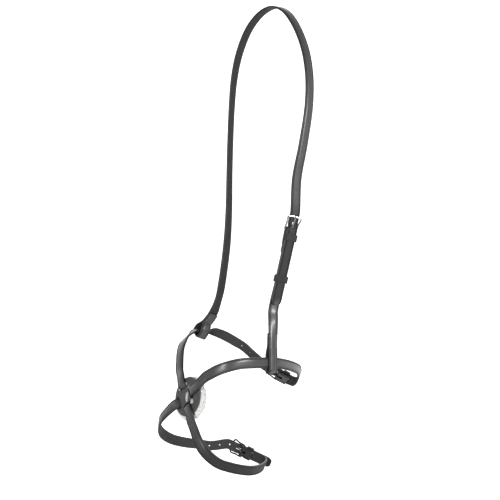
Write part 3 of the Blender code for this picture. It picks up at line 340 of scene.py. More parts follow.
class LeatherSizes(bpy.types.PropertyGroup):
    """How the strap leather is finished."""

    crease_inset: FloatProperty(
        name="Crease inset", description="Distance of the crease line from the strap's edge",
        default=2.3 * MM, min=0.5 * MM, max=5 * MM, subtype="DISTANCE", unit="LENGTH")
    crease_width: FloatProperty(
        name="Crease width", description="Width of the pressed crease line",
        default=1.1 * MM, min=0.2 * MM, max=2 * MM, subtype="DISTANCE", unit="LENGTH")
    crease_depth: FloatProperty(
        name="Crease depth", description="Depth of the pressed crease line",
        default=0.32 * MM, min=0.0, max=0.8 * MM, subtype="DISTANCE", unit="LENGTH")
    edge_round: FloatProperty(
        name="Edge rounding", description="How far the rubbed edges are rounded over",
        default=0.8 * MM, min=0.2 * MM, max=1.3 * MM, subtype="DISTANCE", unit="LENGTH")
    grain_size: FloatProperty(
        name="Grain size", description="Size of one grain pebble in the leather",
        default=0.7 * MM, min=0.2 * MM, max=3 * MM, subtype="DISTANCE", unit="LENGTH")
    stitch_pitch: FloatProperty(
        name="Stitch pitch", description="Distance from one stitch to the next",
        default=3.0 * MM, min=1.5 * MM, max=6 * MM, subtype="DISTANCE", unit="LENGTH")
    thread_radius: FloatProperty(
        name="Thread radius", description="Half the thickness of the waxed thread",
        default=0.4 * MM, min=0.1 * MM, max=1 * MM, subtype="DISTANCE", unit="LENGTH")


class FleeceSizes(bpy.types.PropertyGroup):
    """How the fleece pad is filled and curled."""

    lump_height: FloatProperty(
        name="Lump height", description="Height of the soft lumps in the fleece",
        default=1.6 * MM, min=0.0, max=4 * MM, subtype="DISTANCE", unit="LENGTH")
    curl_length: FloatProperty(
        name="Curl length", description="Length of one curl of wool",
        default=4.2 * MM, min=1 * MM, max=9 * MM, subtype="DISTANCE", unit="LENGTH")
    curl_count: IntProperty(
        name="Curls", description="Number of curls of wool", default=1500, min=50, max=6000)


class Finishes(bpy.types.PropertyGroup):
    """Colours of the leather, metal, thread and wool."""

    leather: FloatVectorProperty(
        name="Leather", description="Colour of the grain side", subtype="COLOR",
        size=3, default=(0.048, 0.048, 0.049), min=0, max=1)
    # Also mixed into the grain side as painted shade in the creases, towards the edges and in the
    # bands below the crown
    edge_and_shade_colour: FloatVectorProperty(
        name="Leather edge", description="Colour of the burnished edges and creases",
        subtype="COLOR", size=3, default=(0.010, 0.010, 0.011), min=0, max=1)
    flesh: FloatVectorProperty(
        name="Flesh side", description="Colour of the inside of the leather",
        subtype="COLOR", size=3, default=(0.035, 0.035, 0.036), min=0, max=1)
    thread: FloatVectorProperty(
        name="Thread", description="Colour of the stitching", subtype="COLOR",
        size=3, default=(0.22, 0.22, 0.22), min=0, max=1)
    steel: FloatVectorProperty(
        name="Steel", description="Colour of the polished cheek buckle", subtype="COLOR",
        size=3, default=(0.60, 0.61, 0.63), min=0, max=1)
    # The jaw and chin buckles' dark colour is painted shade on the cheek buckle's steel
    dull_shaded_steel: FloatVectorProperty(
        name="Dull steel", description="Colour of the dull buckles at the jaw and chin",
        subtype="COLOR", size=3, default=(0.055, 0.055, 0.058), min=0, max=1)
    wool: FloatVectorProperty(
        name="Wool", description="Colour of the fleece", subtype="COLOR",
        size=3, default=(0.82, 0.82, 0.80), min=0, max=1)


class StudioSettings(bpy.types.PropertyGroup):
    """The floor and the light."""

    floor_drop: FloatProperty(
        name="Floor drop", description="How far the floor lies below the noseband",
        default=0.42, min=0.05, max=2, subtype="DISTANCE", unit="LENGTH")
    sky_strength: FloatProperty(
        name="Fill", description="Strength of the light from all round", default=0.31,
        min=0, max=5)
    glow: FloatProperty(
        name="Backdrop glow", description="How brightly the backdrop is lit from behind",
        default=0.95, min=0, max=5)
    key_power: FloatProperty(
        name="Key light", description="Power of the large soft light", default=60.0,
        min=0, max=500, unit="POWER")
    backdrop: FloatVectorProperty(
        name="Backdrop", description="Colour of the floor and the backdrop",
        subtype="COLOR", size=3, default=(0.74, 0.74, 0.74), min=0, max=1)


class Wire:
    """A shader socket that takes part in plain sums."""

    def __init__(self, paint, socket):
        self.paint = paint
        self.socket = socket

    def _maths(self, operation, *values):
        return self.paint.add("ShaderNodeMath", {"operation": operation},
                              dict(enumerate(values)))

    def __add__(self, other):
        return self._maths("ADD", self, other)

    __radd__ = __add__

    def __sub__(self, other):
        return self._maths("SUBTRACT", self, other)

    def __rsub__(self, other):
        return self._maths("SUBTRACT", other, self)

    def __mul__(self, other):
        return self._maths("MULTIPLY", self, other)

    def __truediv__(self, other):
        return self._maths("DIVIDE", self, other)

    def __abs__(self):
        return self._maths("ABSOLUTE", self)


class Paint:
    """One material and the few ways in which its nodes are made."""

    def __init__(self, name):
        self.material = bpy.data.materials.new(name)
        self.material.use_nodes = True
        self.tree = self.material.node_tree
        self.shader = self.tree.nodes["Principled BSDF"]

    def add(self, kind, settings=None, values=None, output=0):
        """A node of one kind, its settings first and then its sockets."""
        node = self.tree.nodes.new(kind)
        for key, value in (settings or {}).items():
            if key == "stops":
                ramp = node.color_ramp
                while len(ramp.elements) < len(value):
                    ramp.elements.new(0.5)
                for element, (position, level) in zip(ramp.elements, value):
                    element.position = position
                    element.color = (level, level, level, 1)
            else:
                setattr(node, key, value)
        for key, value in (values or {}).items():
            self.put(node.inputs[key], value)
        return Wire(self, node.outputs[output])

    def put(self, socket, value):
        if isinstance(value, Wire):
            self.tree.links.new(value.socket, socket)
        elif hasattr(value, "__len__") and len(value) == 3 and socket.type == "RGBA":
            socket.default_value = (*value, 1)
        else:
            socket.default_value = value

    def surface(self, **values):
        """Set or link the shader's sockets by name."""
        for key, value in values.items():
            self.put(self.shader.inputs[key.replace("_", " ")], value)

    def place(self):
        return self.add("ShaderNodeTexCoord", output="Object")

    def part(self, vector, index):
        """The X, Y or Z of a vector, by its number."""
        return self.add("ShaderNodeSeparateXYZ", {}, {"Vector": vector}, output=index)

    def speckle(self, where, size, detail=4.0, rough=0.55):
        return self.add("ShaderNodeTexNoise", {}, {
            "Vector": where, "Scale": 1 / size, "Detail": detail, "Roughness": rough})

    def cells(self, where, size):
        return self.add("ShaderNodeTexVoronoi", {}, {"Vector": where, "Scale": 1 / size})

    def ramp(self, value, *stops):
        return self.add("ShaderNodeValToRGB", {"stops": stops}, {"Fac": value})

    def mix(self, share, first, second):
        return self.add("ShaderNodeMix", {"data_type": "RGBA"}, {
            "Factor": share, "A": first, "B": second}, output="Result")

    def shades(self, share, colour, low, high):
        """From a darker to a lighter shade of one colour."""
        return self.mix(share, [c * low for c in colour], [min(c * high, 1) for c in colour])

    def bump(self, height, strength, distance, normal=None):
        values = {"Height": height, "Strength": strength, "Distance": distance}
        if normal is not None:
            values["Normal"] = normal
        return self.add("ShaderNodeBump", {}, values)

    def pebbled(self, place, size, ripple, strength):
        """The pores of grain leather, and the normal of its pebbles over a soft ripple."""
        pores = self.speckle(place, size * 0.6, 5.0, 0.6)
        height = self.cells(place, size) * 0.6 + pores * 0.4
        normal = self.bump(ripple, 0.25, 0.6 * MM)
        return pores, self.bump(height, strength, 0.12 * MM, normal)


class Station:
    """A place on a strap's centre line and the way its grain side faces there."""

    def __init__(self, place, face):
        self.place = Vector(place)
        self.face = Vector(face).normalized()


def head_place(shares):
    x, y, z = shares
    return Vector((x * HEAD_HALF_WIDTH, -y * NOSE_REACH, z * HEAD_DROP))


def nose_place(shares):
    x, y, z = shares
    return Vector((x * NOSE_HALF_WIDTH, -y * NOSE_REACH, -HEAD_DROP - z * NOSE_DROP))


def stations_of(table, place=nose_place):
    return [Station(place(shares), face) for shares, face in table]


def spline(points, share):
    """A point on the centripetal curve through four points, between the middle two."""
    knots = [0.0]
    for first, second in zip(points, points[1:]):
        knots.append(knots[-1] + max(sqrt((second - first).length), 1e-6))
    t = knots[1] + (knots[2] - knots[1]) * share

    def between(a, b, low, high):
        return (a * (high - t) + b * (t - low)) / (high - low)

    first = [between(points[i], points[i + 1], knots[i], knots[i + 1]) for i in range(3)]
    second = [between(first[i], first[i + 1], knots[i], knots[i + 2]) for i in range(2)]
    return between(second[0], second[1], knots[1], knots[2])


def smooth(stations):
    """Fill a row of stations up to the ring spacing, along one smooth curve."""
    filled = []
    last = len(stations) - 1
    for i in range(last):
        start, end = stations[i], stations[i + 1]
        before = stations[i - 1].place if i else start.place * 2 - end.place
        after = stations[i + 2].place if i + 2 <= last else end.place * 2 - start.place
        way = end.place - start.place
        turn = (start.place - before).angle(way, 0.0) + way.angle(after - end.place, 0.0)
        steps = max(1, ceil(way.length / RING_SPACING), ceil(turn / BEND_ANGLE))
        points = (before, start.place, end.place, after)
        for step in range(steps):
            share = step / steps
            place = spline(points, share) if step else start.place
            filled.append(Station(place, start.face.lerp(end.face, share)))
    filled.append(stations[-1])
    return squared(filled)


def tangents(stations):
    """The way along the strap at each station."""
    places = [station.place for station in stations]
    ways = []
    for i, place in enumerate(places):
        into = (place - places[i - 1]).normalized() if i else Vector()
        out = (places[i + 1] - place).normalized() if i + 1 < len(places) else Vector()
        ways.append((into + out).normalized())
    return ways


def squared(stations):
    """Turn each face square to the strap's run."""
    return [Station(station.place, station.face - along * station.face.dot(along))
            for station, along in zip(stations, tangents(stations))]


def run_lengths(stations):
    lengths = [0.0]
    for first, second in zip(stations, stations[1:]):
        lengths.append(lengths[-1] + (second.place - first.place).length)
    return lengths


def from_end(body):
    """A strap's stations from its last one back, each with its run from there."""
    back = body[::-1]
    return list(zip(back, run_lengths(back)))


def half_turn(centre, start, axis_way, radius):
    """A half turn round a bar, from `start` over `axis_way` to the far side."""
    turn = []
    for step in range(1, BEND_STEPS):
        angle = pi * step / BEND_STEPS
        radial = start * cos(angle) + axis_way * sin(angle)
        turn.append(Station(centre + radial * radius, radial))
    return turn


def eased(share):
    share = min(max(share, 0.0), 1.0)
    return share * share * (3 - 2 * share)


class Seat:
    """The seat of a buckle: `run` along the chape from the heel bar, `out` on its
    grain side and `across` its width."""

    def __init__(self, origin, run, face):
        self.origin = Vector(origin)
        self.run = Vector(run).normalized()
        face = Vector(face)
        self.out = (face - self.run * face.dot(self.run)).normalized()
        self.across = self.run.cross(self.out)

    def at(self, run, out=0.0):
        return self.origin + self.run * run + self.out * out

    def station(self, run, out=0.0):
        return Station(self.at(run, out), self.out)


CHEEK_SEAT = Seat(head_place(CHEEK_BUCKLE[0]), *CHEEK_BUCKLE[1:])
JAW_SEAT = Seat(nose_place(JAW_BUCKLE[0]), *JAW_BUCKLE[1:])
CHIN_SEAT = Seat(nose_place(CHIN_BUCKLE[0]), *CHIN_BUCKLE[1:])


def turned_back(body, length, depth_at):
    """The strap's last stretch, folded back behind itself, nearest station first."""
    return [Station(station.place - station.face * depth_at(run), -station.face)
            for station, run in from_end(body) if run <= length]


def chape_start(body, seat, length, depth_at):
    """The stations before a strap's body: its chape, turned back behind it, and the half
    turn round the heel bar."""
    bend = half_turn(seat.at(0, -CHAPE_BEND), seat.out, -seat.run, CHAPE_BEND)
    return (bend + turned_back(body[::-1], length, depth_at))[::-1]


def chape_depth(keeper_end):
    """How deep the turned back end lies: wide over the heel bar and the keeper's foot,
    then closing on to the strap."""

    def depth(run):
        wide = max(2 * CHAPE_BEND - (2 * CHAPE_BEND - KEEPER_POCKET) * run / keeper_end,
                   KEEPER_POCKET)
        return wide + (LAYER - wide) * eased((run - keeper_end) / (KEEPER_LENGTH * 0.9))

    return depth


def billet(seat, tail):
    """The billet from ahead of the front bar to the end of its tail."""
    lie = [seat.station(share * FRONT_BAR_RUN, rise * LAYER) for share, rise in BILLET_LIE]
    steps = max(2, ceil(tail / BILLET_STEP))
    return lie + [seat.station(tail * step / steps, LAYER) for step in range(1, steps + 1)]


class Loop:
    """A cheek loop round a nose strap: `up` its pull, `out` of the strap, at its centre."""

    def __init__(self, junction, lap):
        place, run, face, pull = junction
        self.centre = nose_place(place)
        self.up = Vector(pull).normalized()
        face = Vector(face)
        self.out = (face - self.up * face.dot(self.up)).normalized()
        run = Vector(run)
        self.run = (run - self.out * run.dot(self.out)).normalized()
        self.held_face = self.out
        self.side = LEATHER + LOOP_FACE_GAP
        slant = abs(self.run.dot(self.up))
        upright = sqrt(1 - slant ** 2)
        self.low = (NOSE_WIDTH * upright + HEAD_WIDTH * slant) / 2 + LOOP_EDGE_GAP
        self.lap_end = lap + 2 * self.low

    def hanging(self):
        """The outer layer, from above the nose strap down to the bend."""
        return [Station(self.centre + self.up * height + self.out * self.side, self.out)
                for height in (self.low + LOOP_RUN, self.low, 0.0, -self.low)]

    def held(self):
        """The nose strap's straight stretch inside the loop."""
        reach = HEAD_WIDTH / 2 + LOOP_EDGE_GAP
        return [Station(self.centre + self.run * run, self.held_face)
                for run in (reach, 0.0, -reach)]

    def bend(self):
        return half_turn(self.centre - self.up * self.low, self.out, -self.up, self.side)

    def depth(self, run):
        deep = 2 * self.side
        return deep + (LAYER - deep) * eased((run - 2 * self.low) / LOOP_CLOSE)


class Eye(Loop):
    """The off loop: a flattened eye, with the nose strap rolled over inside it."""

    def __init__(self, junction, lap):
        super().__init__(junction, lap)
        self.held_face = self.out * cos(EYE_ROLL) + self.up * sin(EYE_ROLL)
        self.half = EYE_HALF_WIDTH + LEATHER / 2
        self.floor = EYE_LOW + LEATHER / 2
        self.turn = EYE_CORNER + LEATHER / 2
        self.top = self.low + lap

    def spot(self, out, up, out_way, up_way):
        """A station by its place in the eye's section and the way that it faces."""
        return Station(self.centre + self.out * out + self.up * up,
                       self.out * out_way + self.up * up_way)

    def wall(self, table):
        return [self.spot(self.half * out, EYE_HEIGHT * up, out_way, up_way)
                for out, up, out_way, up_way in table]

    def hanging(self):
        return [self.spot(0.0, EYE_HEIGHT + LOOP_RUN, 1.0, 0.0), *self.wall(EYE_OUTER),
                self.spot(self.half, self.turn - self.floor, 1.0, 0.0)]

    def bend(self):
        """Down round the outer corner, along the bottom and up round the inner one."""
        turn = []
        for side in (1, -1):
            for step in range(BEND_STEPS):
                share = step / (BEND_STEPS - 1)
                angle = pi / 2 * (share if side > 0 else 1 - share)
                out, up = side * cos(angle), -sin(angle)
                turn.append(self.spot(side * (self.half - self.turn) + self.turn * out,
                                      self.turn - self.floor + self.turn * up, out, up))
        return turn[1:]

    def closed(self, body):
        """The stations, nearest first, where the lap lies on the strap, and their runs."""
        return [(station, run) for station, run in from_end(body)
                if EYE_HEIGHT * EYE_CLOSED < (station.place - self.centre).dot(self.up) < self.top]

    def lap(self, body):
        """Up the inner side of the eye, then closed on to the strap above."""
        return self.wall(EYE_INNER) + [
            Station(station.place - station.face * LAYER, -station.face)
            for station, _ in self.closed(body)]


NEAR_LOOP = Loop(NEAR_JUNCTION, NEAR_LOOP_LAP)
OFF_LOOP = Eye(OFF_JUNCTION, OFF_LOOP_LAP)


class Disc:
    """The nose disc's own directions: `across` to the near side, `up` its face."""

    def __init__(self):
        ahead = Vector((-sin(DISC_TURN), -cos(DISC_TURN), 0))
        upright = Vector((0, 0, 1))
        self.out = ahead * cos(DISC_TILT) + upright * sin(DISC_TILT)
        self.across = Vector((cos(DISC_TURN), -sin(DISC_TURN), 0))
        self.up = upright * cos(DISC_TILT) - ahead * sin(DISC_TILT)
        self.centre = Vector((-DISC_ASIDE, -NOSE_REACH,
                              -HEAD_DROP - DISC_HEIGHT_SHARE * NOSE_DROP))

    def at(self, x, y, depth=0.0):
        return self.centre + self.across * x + self.up * y + self.out * depth

    def spot(self, shares):
        return self.at(shares[0] * DISC_RADIUS, shares[1] * DISC_RADIUS)


DISC = Disc()
OVER = LEATHER / 2 + STRAP_LIFT
SHALLOW = -DISC_LEATHER - STRAP_LIFT - LEATHER / 2
DEEP = SHALLOW - LAYER


def dip(slot, inward, depth):
    """Centre line through one slot, from over the disc to `depth` behind it."""
    middle = -DISC_LEATHER / 2
    drop = DIP_BEND * (1 - cos(DIP_SLOPE))
    reach = DIP_BEND * sin(DIP_SLOPE)
    upper = (OVER - middle - drop) * cos(DIP_SLOPE) / sin(DIP_SLOPE)
    lower = (middle - depth - drop) * cos(DIP_SLOPE) / sin(DIP_SLOPE)
    into, away = [], []
    for step in range(DIP_STEPS + 1):
        angle = DIP_SLOPE * step / DIP_STEPS
        run, fall = DIP_BEND * sin(angle), DIP_BEND * (1 - cos(angle))
        into.append((-(upper + reach) + run, OVER - fall))
        away.append((lower + reach - run, depth + fall))
    return [Station(slot + inward * s + DISC.out * z, DISC.out) for s, z in into + away[::-1]]


def passage(table, depth):
    """A strap's way over the rim, through two slots and over the rim again."""
    high, low, start, end = [DISC.spot(shares) for shares in table]
    inward = (low - high).normalized()
    rim = [Station(place + DISC.out * OVER, DISC.out) for place in (start, end)]
    return rim[:1] + dip(high, inward, depth) + dip(low, -inward, depth)[::-1] + rim[1:]


def strap_profile(half, deep, full_half, look):
    """Corners round a strap's section, from the middle of the grain side: place across,
    height, and the material slot of the face that follows."""
    scale = half / full_half
    inset = look.crease_inset * scale
    line = look.crease_width / 2 * scale
    groove = min(look.crease_depth, deep * 0.3)
    off = min(look.edge_round, deep * 0.7, half * 0.4)
    side = [
        (half * 0.22, deep, GRAIN),
        (half - inset - line * 1.8, deep - groove * 0.10, GRAIN),
        (half - inset - line * 0.6, deep - groove, GRAIN),
        (half - inset + line * 0.6, deep - groove, GRAIN),
        (half - inset + line * 1.6, deep - groove * 0.15, GRAIN),
        (half - off, deep - groove * 0.10, EDGE),
        (half - off * 0.30, deep - off * 0.32, EDGE),
        (half, deep - off, EDGE),
        (half, off - deep, EDGE),
        (half - off * 0.30, off * 0.32 - deep, EDGE),
        (half - off, -deep, FLESH),
        (half * 0.40, -deep, FLESH),
    ]
    mirrored = []
    for i in range(len(side) - 1, -1, -1):
        across, height, _ = side[i]
        mirrored.append((-across, height, side[i - 1][2] if i else GRAIN))
    return side + mirrored


def finished(shape, name, angle=None, outward=True):
    """The smooth mesh of a shape, with its edges over an angle in degrees kept sharp."""
    if outward:
        bmesh.ops.recalc_face_normals(shape, faces=shape.faces)
    mesh = bpy.data.meshes.new(name)
    shape.to_mesh(mesh)
    shape.free()
    mesh.shade_smooth()
    if angle is not None:
        mesh.set_sharp_from_angle(angle=radians(angle))
    return mesh


def ring(shape, centre, first, second, radius, sides):
    """New vertices round a circle in the plane of two ways."""
    return [shape.verts.new(centre + (first * cos(a) + second * sin(a)) * radius)
            for a in (2 * pi * k / sides for k in range(sides))]


def tube(shape, rings, slots=None, cap=0):
    """Faces over a row of equal rings, and a cap at each end; `slots` holds the material
    of each face round a ring."""
    sides = len(rings[0])
    for first, second in zip(rings, rings[1:]):
        for i in range(sides):
            j = (i + 1) % sides
            face = shape.faces.new((first[i], first[j], second[j], second[i]))
            face.material_index = slots[i] if slots else 0
    for end in (rings[0][::-1], rings[-1]):
        shape.faces.new(end).material_index = cap


def strap_mesh(name, stations, width, pointed):
    """A creased strap along its stations, its last end pointed and its others skived,
    with its run and its place across kept as a map."""
    look = bpy.context.scene.noseband_leather
    lengths = run_lengths(stations)
    shape = bmesh.new()
    layer = shape.loops.layers.uv.new("Lay")
    rows = []
    spots = {}
    thinnest = SKIVED_END / LEATHER
    for station, along, length in zip(stations, tangents(stations), lengths):
        across = along.cross(station.face)
        left = lengths[-1] - length
        narrow = 1.0
        if pointed and left < BILLET_POINT:
            swell = sqrt(max(1 - (1 - left / BILLET_POINT) ** 2, 0.0))
            narrow = POINT_SHARE + (1 - POINT_SHARE) * swell
        skived = min(length, SKIVE_LENGTH if pointed else left, SKIVE_LENGTH)
        thin = thinnest + (1 - thinnest) * skived / SKIVE_LENGTH
        half = width * narrow / 2
        profile = strap_profile(half, LEATHER * thin / 2, width / 2, look)
        row = []
        for u, v, _ in profile:
            vertex = shape.verts.new(station.place + across * u + station.face * v)
            spots[vertex] = (length, u / half)
            row.append(vertex)
        rows.append(row)
    tube(shape, rows, [corner[2] for corner in profile], EDGE)
    for face in shape.faces:
        for loop in face.loops:
            loop[layer].uv = spots[loop.vert]
    return finished(shape, name, 50)


def cutter_mesh(rings):
    """A closed mesh over a row of equal rings of points."""
    shape = bmesh.new()
    tube(shape, [[shape.verts.new(point) for point in points] for points in rings])
    return finished(shape, "cutter", 40)


def link(name, mesh, *materials):
    """Put a mesh into the scene with its materials."""
    for material in materials:
        mesh.materials.append(material)
    thing = bpy.data.objects.new(name, mesh)
    bpy.context.scene.collection.objects.link(thing)
    return thing


def hole(centre, long_way, depth_way, length, width):
    """A cutter with round ends that goes right through a strap."""
    side = long_way.cross(depth_way)
    straight = max(length - width, 0.0) / 2
    outline = []
    for end in (1, -1):
        for step in range(HOLE_STEPS + 1):
            angle = -pi / 2 + pi * step / HOLE_STEPS
            outline.append((end * (straight + width / 2 * cos(angle)),
                            end * width / 2 * sin(angle)))
    deep = LEATHER + CUT_OVERRUN
    return cutter_mesh([[centre + long_way * x + side * y + depth_way * deep * share
                         for x, y in outline] for share in (-0.5, 0.5)])


def cut(thing, meshes, wall):
    """Take cutters out of an object; their walls take one material."""
    joined = bmesh.new()
    for mesh in meshes:
        joined.from_mesh(mesh)
        bpy.data.meshes.remove(mesh)
    cutter = link("cutter", finished(joined, "cutter", outward=False), wall)
    modifier = thing.modifiers.new("holes", "BOOLEAN")
    modifier.operation = "DIFFERENCE"
    modifier.solver = "EXACT"
    modifier.material_mode = "TRANSFER"
    modifier.object = cutter
    bpy.context.view_layer.objects.active = thing
    bpy.ops.object.modifier_apply(modifier=modifier.name)
    bpy.data.objects.remove(cutter)
    thing.data.set_sharp_from_angle(angle=radians(50))


def station_at(body, distance):
    """A station and the way along the strap at a distance from its end."""
    back = from_end(body)
    for (first, low), (second, high) in zip(back, back[1:]):
        if high >= distance:
            share = (distance - low) / (high - low)
            station = Station(first.place.lerp(second.place, share),
                              first.face.lerp(second.face, share))
            return station, (second.place - first.place).normalized()
    raise ValueError("the strap is too short for its holes")


def punched(body, tail, pitch, count, diameter):
    """Cutters for the row of holes in a billet."""
    cutters = []
    for i in range(1, count + 1):
        run = tail - HOLE_ROW_SHARE * FRONT_BAR_RUN + i * pitch
        station, along = station_at(body, run)
        cutters.append(hole(station.place, along, station.face, diameter, diameter))
    return cutters


def tongue_hole(seat):
    run, rise = TONGUE_HOLE_SHARES
    return hole(seat.at(run * FRONT_BAR_RUN, rise * LAYER), seat.run, seat.out,
                TONGUE_HOLE_LENGTH, TONGUE_HOLE_WIDTH)


def tongue_slot(seat):
    """Cutter for the slot in a chape's bend, where the tongue wraps the bar."""
    along = seat.run * (2 * (TONGUE_BEND + TONGUE_RADIUS + FIT_GAP) + LEATHER)
    out = seat.out * (2 * CHAPE_BEND + CUT_OVERRUN)
    across = seat.across * TONGUE_SLOT_WIDTH
    centre = seat.at(TONGUE_BEND * 0.2, -CHAPE_BEND)
    return cutter_mesh([[centre + along * x + out * y + across * z
                         for y, z in ((-0.5, -0.5), (0.5, -0.5), (0.5, 0.5), (-0.5, 0.5))]
                        for x in (-0.5, 0.5)])


def rounded_end(body, length):
    """Add stations near a strap's last end, so that its point is round."""
    last = body[-1]
    along = tangents(body)[-1]
    kept = [station for station in body if (station.place - last.place).length > length]
    shares = [1 - sin(pi / 2 * i / POINT_STEPS) for i in range(POINT_STEPS + 1)]
    return kept + [Station(last.place - along * length * share, last.face) for share in shares]


_made = {}


def leather_paints():
    """The strap leather: grain side, flesh side and edge, made once."""
    if "leather" in _made:
        return _made["leather"]
    looks = bpy.context.scene.noseband_finishes
    sizes = bpy.context.scene.noseband_leather

    grain = Paint("strap_grain")
    across = abs(grain.part(grain.add("ShaderNodeUVMap", {"uv_map": "Lay"}), 1))
    place = grain.place()
    line = 1 - sizes.crease_inset / (HEAD_WIDTH / 2)
    spread = sizes.crease_width / HEAD_WIDTH
    # Painted shade in the pressed crease and outside it towards the edge, mixed towards the edge
    # colour
    crease = grain.ramp(abs(across - line) / spread, (0.0, 1.0), (0.55, 0.8), (1.0, 0.0))
    painted_border_shade = grain.ramp(across, (line - 0.06, 0.0), (min(line + 0.06, 0.98), 0.9), (1.0, 1.0))
    painted_edge_shade = grain.ramp(crease + painted_border_shade * 0.6, (0.0, 0.0), (1.0, 1.0))
    # Painted shade: bands below the crown darkened towards the edge colour, with less coat
    painted_shade_band = grain.ramp(grain.part(place, 2) * -1.0, *PAINTED_SHADE_BANDS)
    tone = grain.shades(grain.speckle(place, 14 * MM, 3.0, 0.5), looks.leather, 0.72, 1.25)
    tone = grain.mix(painted_edge_shade, tone, looks.edge_and_shade_colour)
    tone = grain.mix(painted_shade_band, tone, looks.edge_and_shade_colour)
    ripple = grain.speckle(place, 5 * MM, 2.0, 0.5)
    pores, normal = grain.pebbled(place, sizes.grain_size, ripple, 0.30)
    grain.surface(Base_Color=tone, Normal=normal,
                  Roughness=0.36 + pores * 0.16 + painted_edge_shade * 0.34 + painted_shade_band * 0.28,
                  Coat_Weight=(1.0 - painted_edge_shade) * (0.5 - painted_shade_band * 0.45),
                  Coat_Roughness=0.24, Specular_IOR_Level=0.55)

    flesh = Paint("strap_flesh")
    place = flesh.place()
    nap = flesh.speckle(place, 0.5 * MM, 6.0, 0.7)
    cloud = flesh.speckle(place, 9 * MM, 3.0, 0.5)
    flesh.surface(Base_Color=flesh.shades(cloud, looks.flesh, 0.7, 1.3),
                  Roughness=0.66 + nap * 0.2, Normal=flesh.bump(nap, 0.5, 0.15 * MM),
                  Specular_IOR_Level=0.25)

    edge = Paint("strap_edge")
    streak = edge.speckle(edge.place(), 1.2 * MM, 4.0, 0.6)
    edge.surface(Base_Color=edge.shades(streak, looks.edge_and_shade_colour, 0.8, 1.6),
                 Roughness=0.30 + streak * 0.2, Normal=edge.bump(streak, 0.35, 0.12 * MM))
    _made["leather"] = [paint.material for paint in (grain, flesh, edge)]
    return _made["leather"]


def plain_leather(name, size, lightness=1.0):
    """Leather for pieces without a strap's own lay."""
    colour = bpy.context.scene.noseband_finishes.leather
    paint = Paint(name)
    place = paint.place()
    pores, normal = paint.pebbled(place, size, paint.speckle(place, 6 * MM, 2.0), 0.32)
    cloud = paint.speckle(place, 9 * MM, 3.0, 0.5)
    paint.surface(Base_Color=paint.shades(cloud, colour, 0.25 * lightness, 0.55 * lightness),
                  Roughness=0.50 + pores * 0.18, Normal=normal, Coat_Weight=0.05,
                  Specular_IOR_Level=0.25, Coat_Roughness=0.32)
    return paint.material


def dress_strap(name, body, start, width, pointed, cutters, owner):
    """Make one strap, cut its holes, and let it stand for its solid."""
    tail = rounded_end(body, BILLET_POINT) if pointed else body
    mesh = strap_mesh(name, squared(start + tail), width, pointed)
    materials = leather_paints()
    thing = link(name + "_leather", mesh, *materials)
    cut(thing, cutters, materials[EDGE])
    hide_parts(name)
    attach(thing, owner)


def thread_paint():
    if "thread" not in _made:
        paint = Paint("waxed_thread")
        colour = bpy.context.scene.noseband_finishes.thread
        twist = paint.add("ShaderNodeTexWave", {"bands_direction": "DIAGONAL"},
                          {"Vector": paint.place(), "Scale": 700.0, "Distortion": 1.5})
        paint.surface(Base_Color=paint.shades(twist, colour, 0.6, 1.5),
                      Roughness=0.5 + twist * 0.2, Normal=paint.bump(twist, 0.5, 0.1 * MM))
        _made["thread"] = paint.material
    return _made["thread"]


def stitch_rows(name, rows, owner):
    """Slanting stitches, half sunk; each row is a list of (place, along, out)."""
    look = bpy.context.scene.noseband_leather
    shape = bmesh.new()
    radius = look.thread_radius
    half = look.stitch_pitch * STITCH_SHARE
    for place, along, out in (stitch for row in rows for stitch in row):
        along = (along + along.cross(out).normalized() * STITCH_SLANT).normalized()
        side = along.cross(out).normalized()
        rings = []
        for share, size in STITCH_SHAPE:
            centre = place + along * half * share + out * radius * (0.55 * size - 0.35)
            rings.append(ring(shape, centre, side, out, radius * size, 8))
        tube(shape, rings)
    thing = link(name, finished(shape, name), thread_paint())
    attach(thing, owner)


def stitch_line(body, start, end, width, depth):
    """Two rows of stitch places along a strap's end, on its grain side or, with a
    depth, on the face of the lap behind it."""
    look = bpy.context.scene.noseband_leather
    rows = [[], []]
    inset = width / 2 - look.crease_inset
    for i in range(max(1, int((end - start) / look.stitch_pitch)) + 1):
        run = start + look.stitch_pitch * i
        station, along = station_at(body, run)
        across = along.cross(station.face).normalized()
        out = station.face if depth is None else -station.face
        lift = LEATHER / 2 - look.crease_depth if depth is None else depth(run) + LEATHER / 2
        for row, side in zip(rows, (-1, 1)):
            row.append((station.place + across * inset * side + out * lift, along, out))
    return rows


def both_faces(body, start, end, width, depth):
    """Rows of stitch places on a strap's grain side and on the lap behind it."""
    return stitch_line(body, start, end, width, None) + stitch_line(body, start, end, width, depth)


class NOSEBAND_OT_head_strap(bpy.types.Operator):
    """Make the head strap: off loop, crown, and the billet through the cheek buckle"""

    bl_idname = "noseband.head_strap"
    bl_label = "Head Strap"

    def execute(self, context):
        route = OFF_LOOP.hanging()[::-1] + stations_of(HEAD_ROUTE, head_place)
        body = smooth(route + billet(CHEEK_SEAT, CHEEK_TAIL))
        down = body[::-1]
        start = (OFF_LOOP.bend() + OFF_LOOP.lap(down))[::-1]
        cutters = punched(body, CHEEK_TAIL, HEAD_HOLE_PITCH, HEAD_HOLES, SEEN_HEAD_HOLE_DIAMETER)
        cutters.append(tongue_hole(CHEEK_SEAT))
        dress_strap("head_strap", body, start, HEAD_WIDTH, True, cutters, "headpiece")
        runs = [run for _, run in OFF_LOOP.closed(down)]
        rows = both_faces(down, runs[0] + LAP_MARGIN, runs[-1] - LAP_MARGIN, HEAD_WIDTH,
                          lambda run: LAYER)
        stitch_rows("off_loop_stitches", rows, "headpiece")
        return {"FINISHED"}


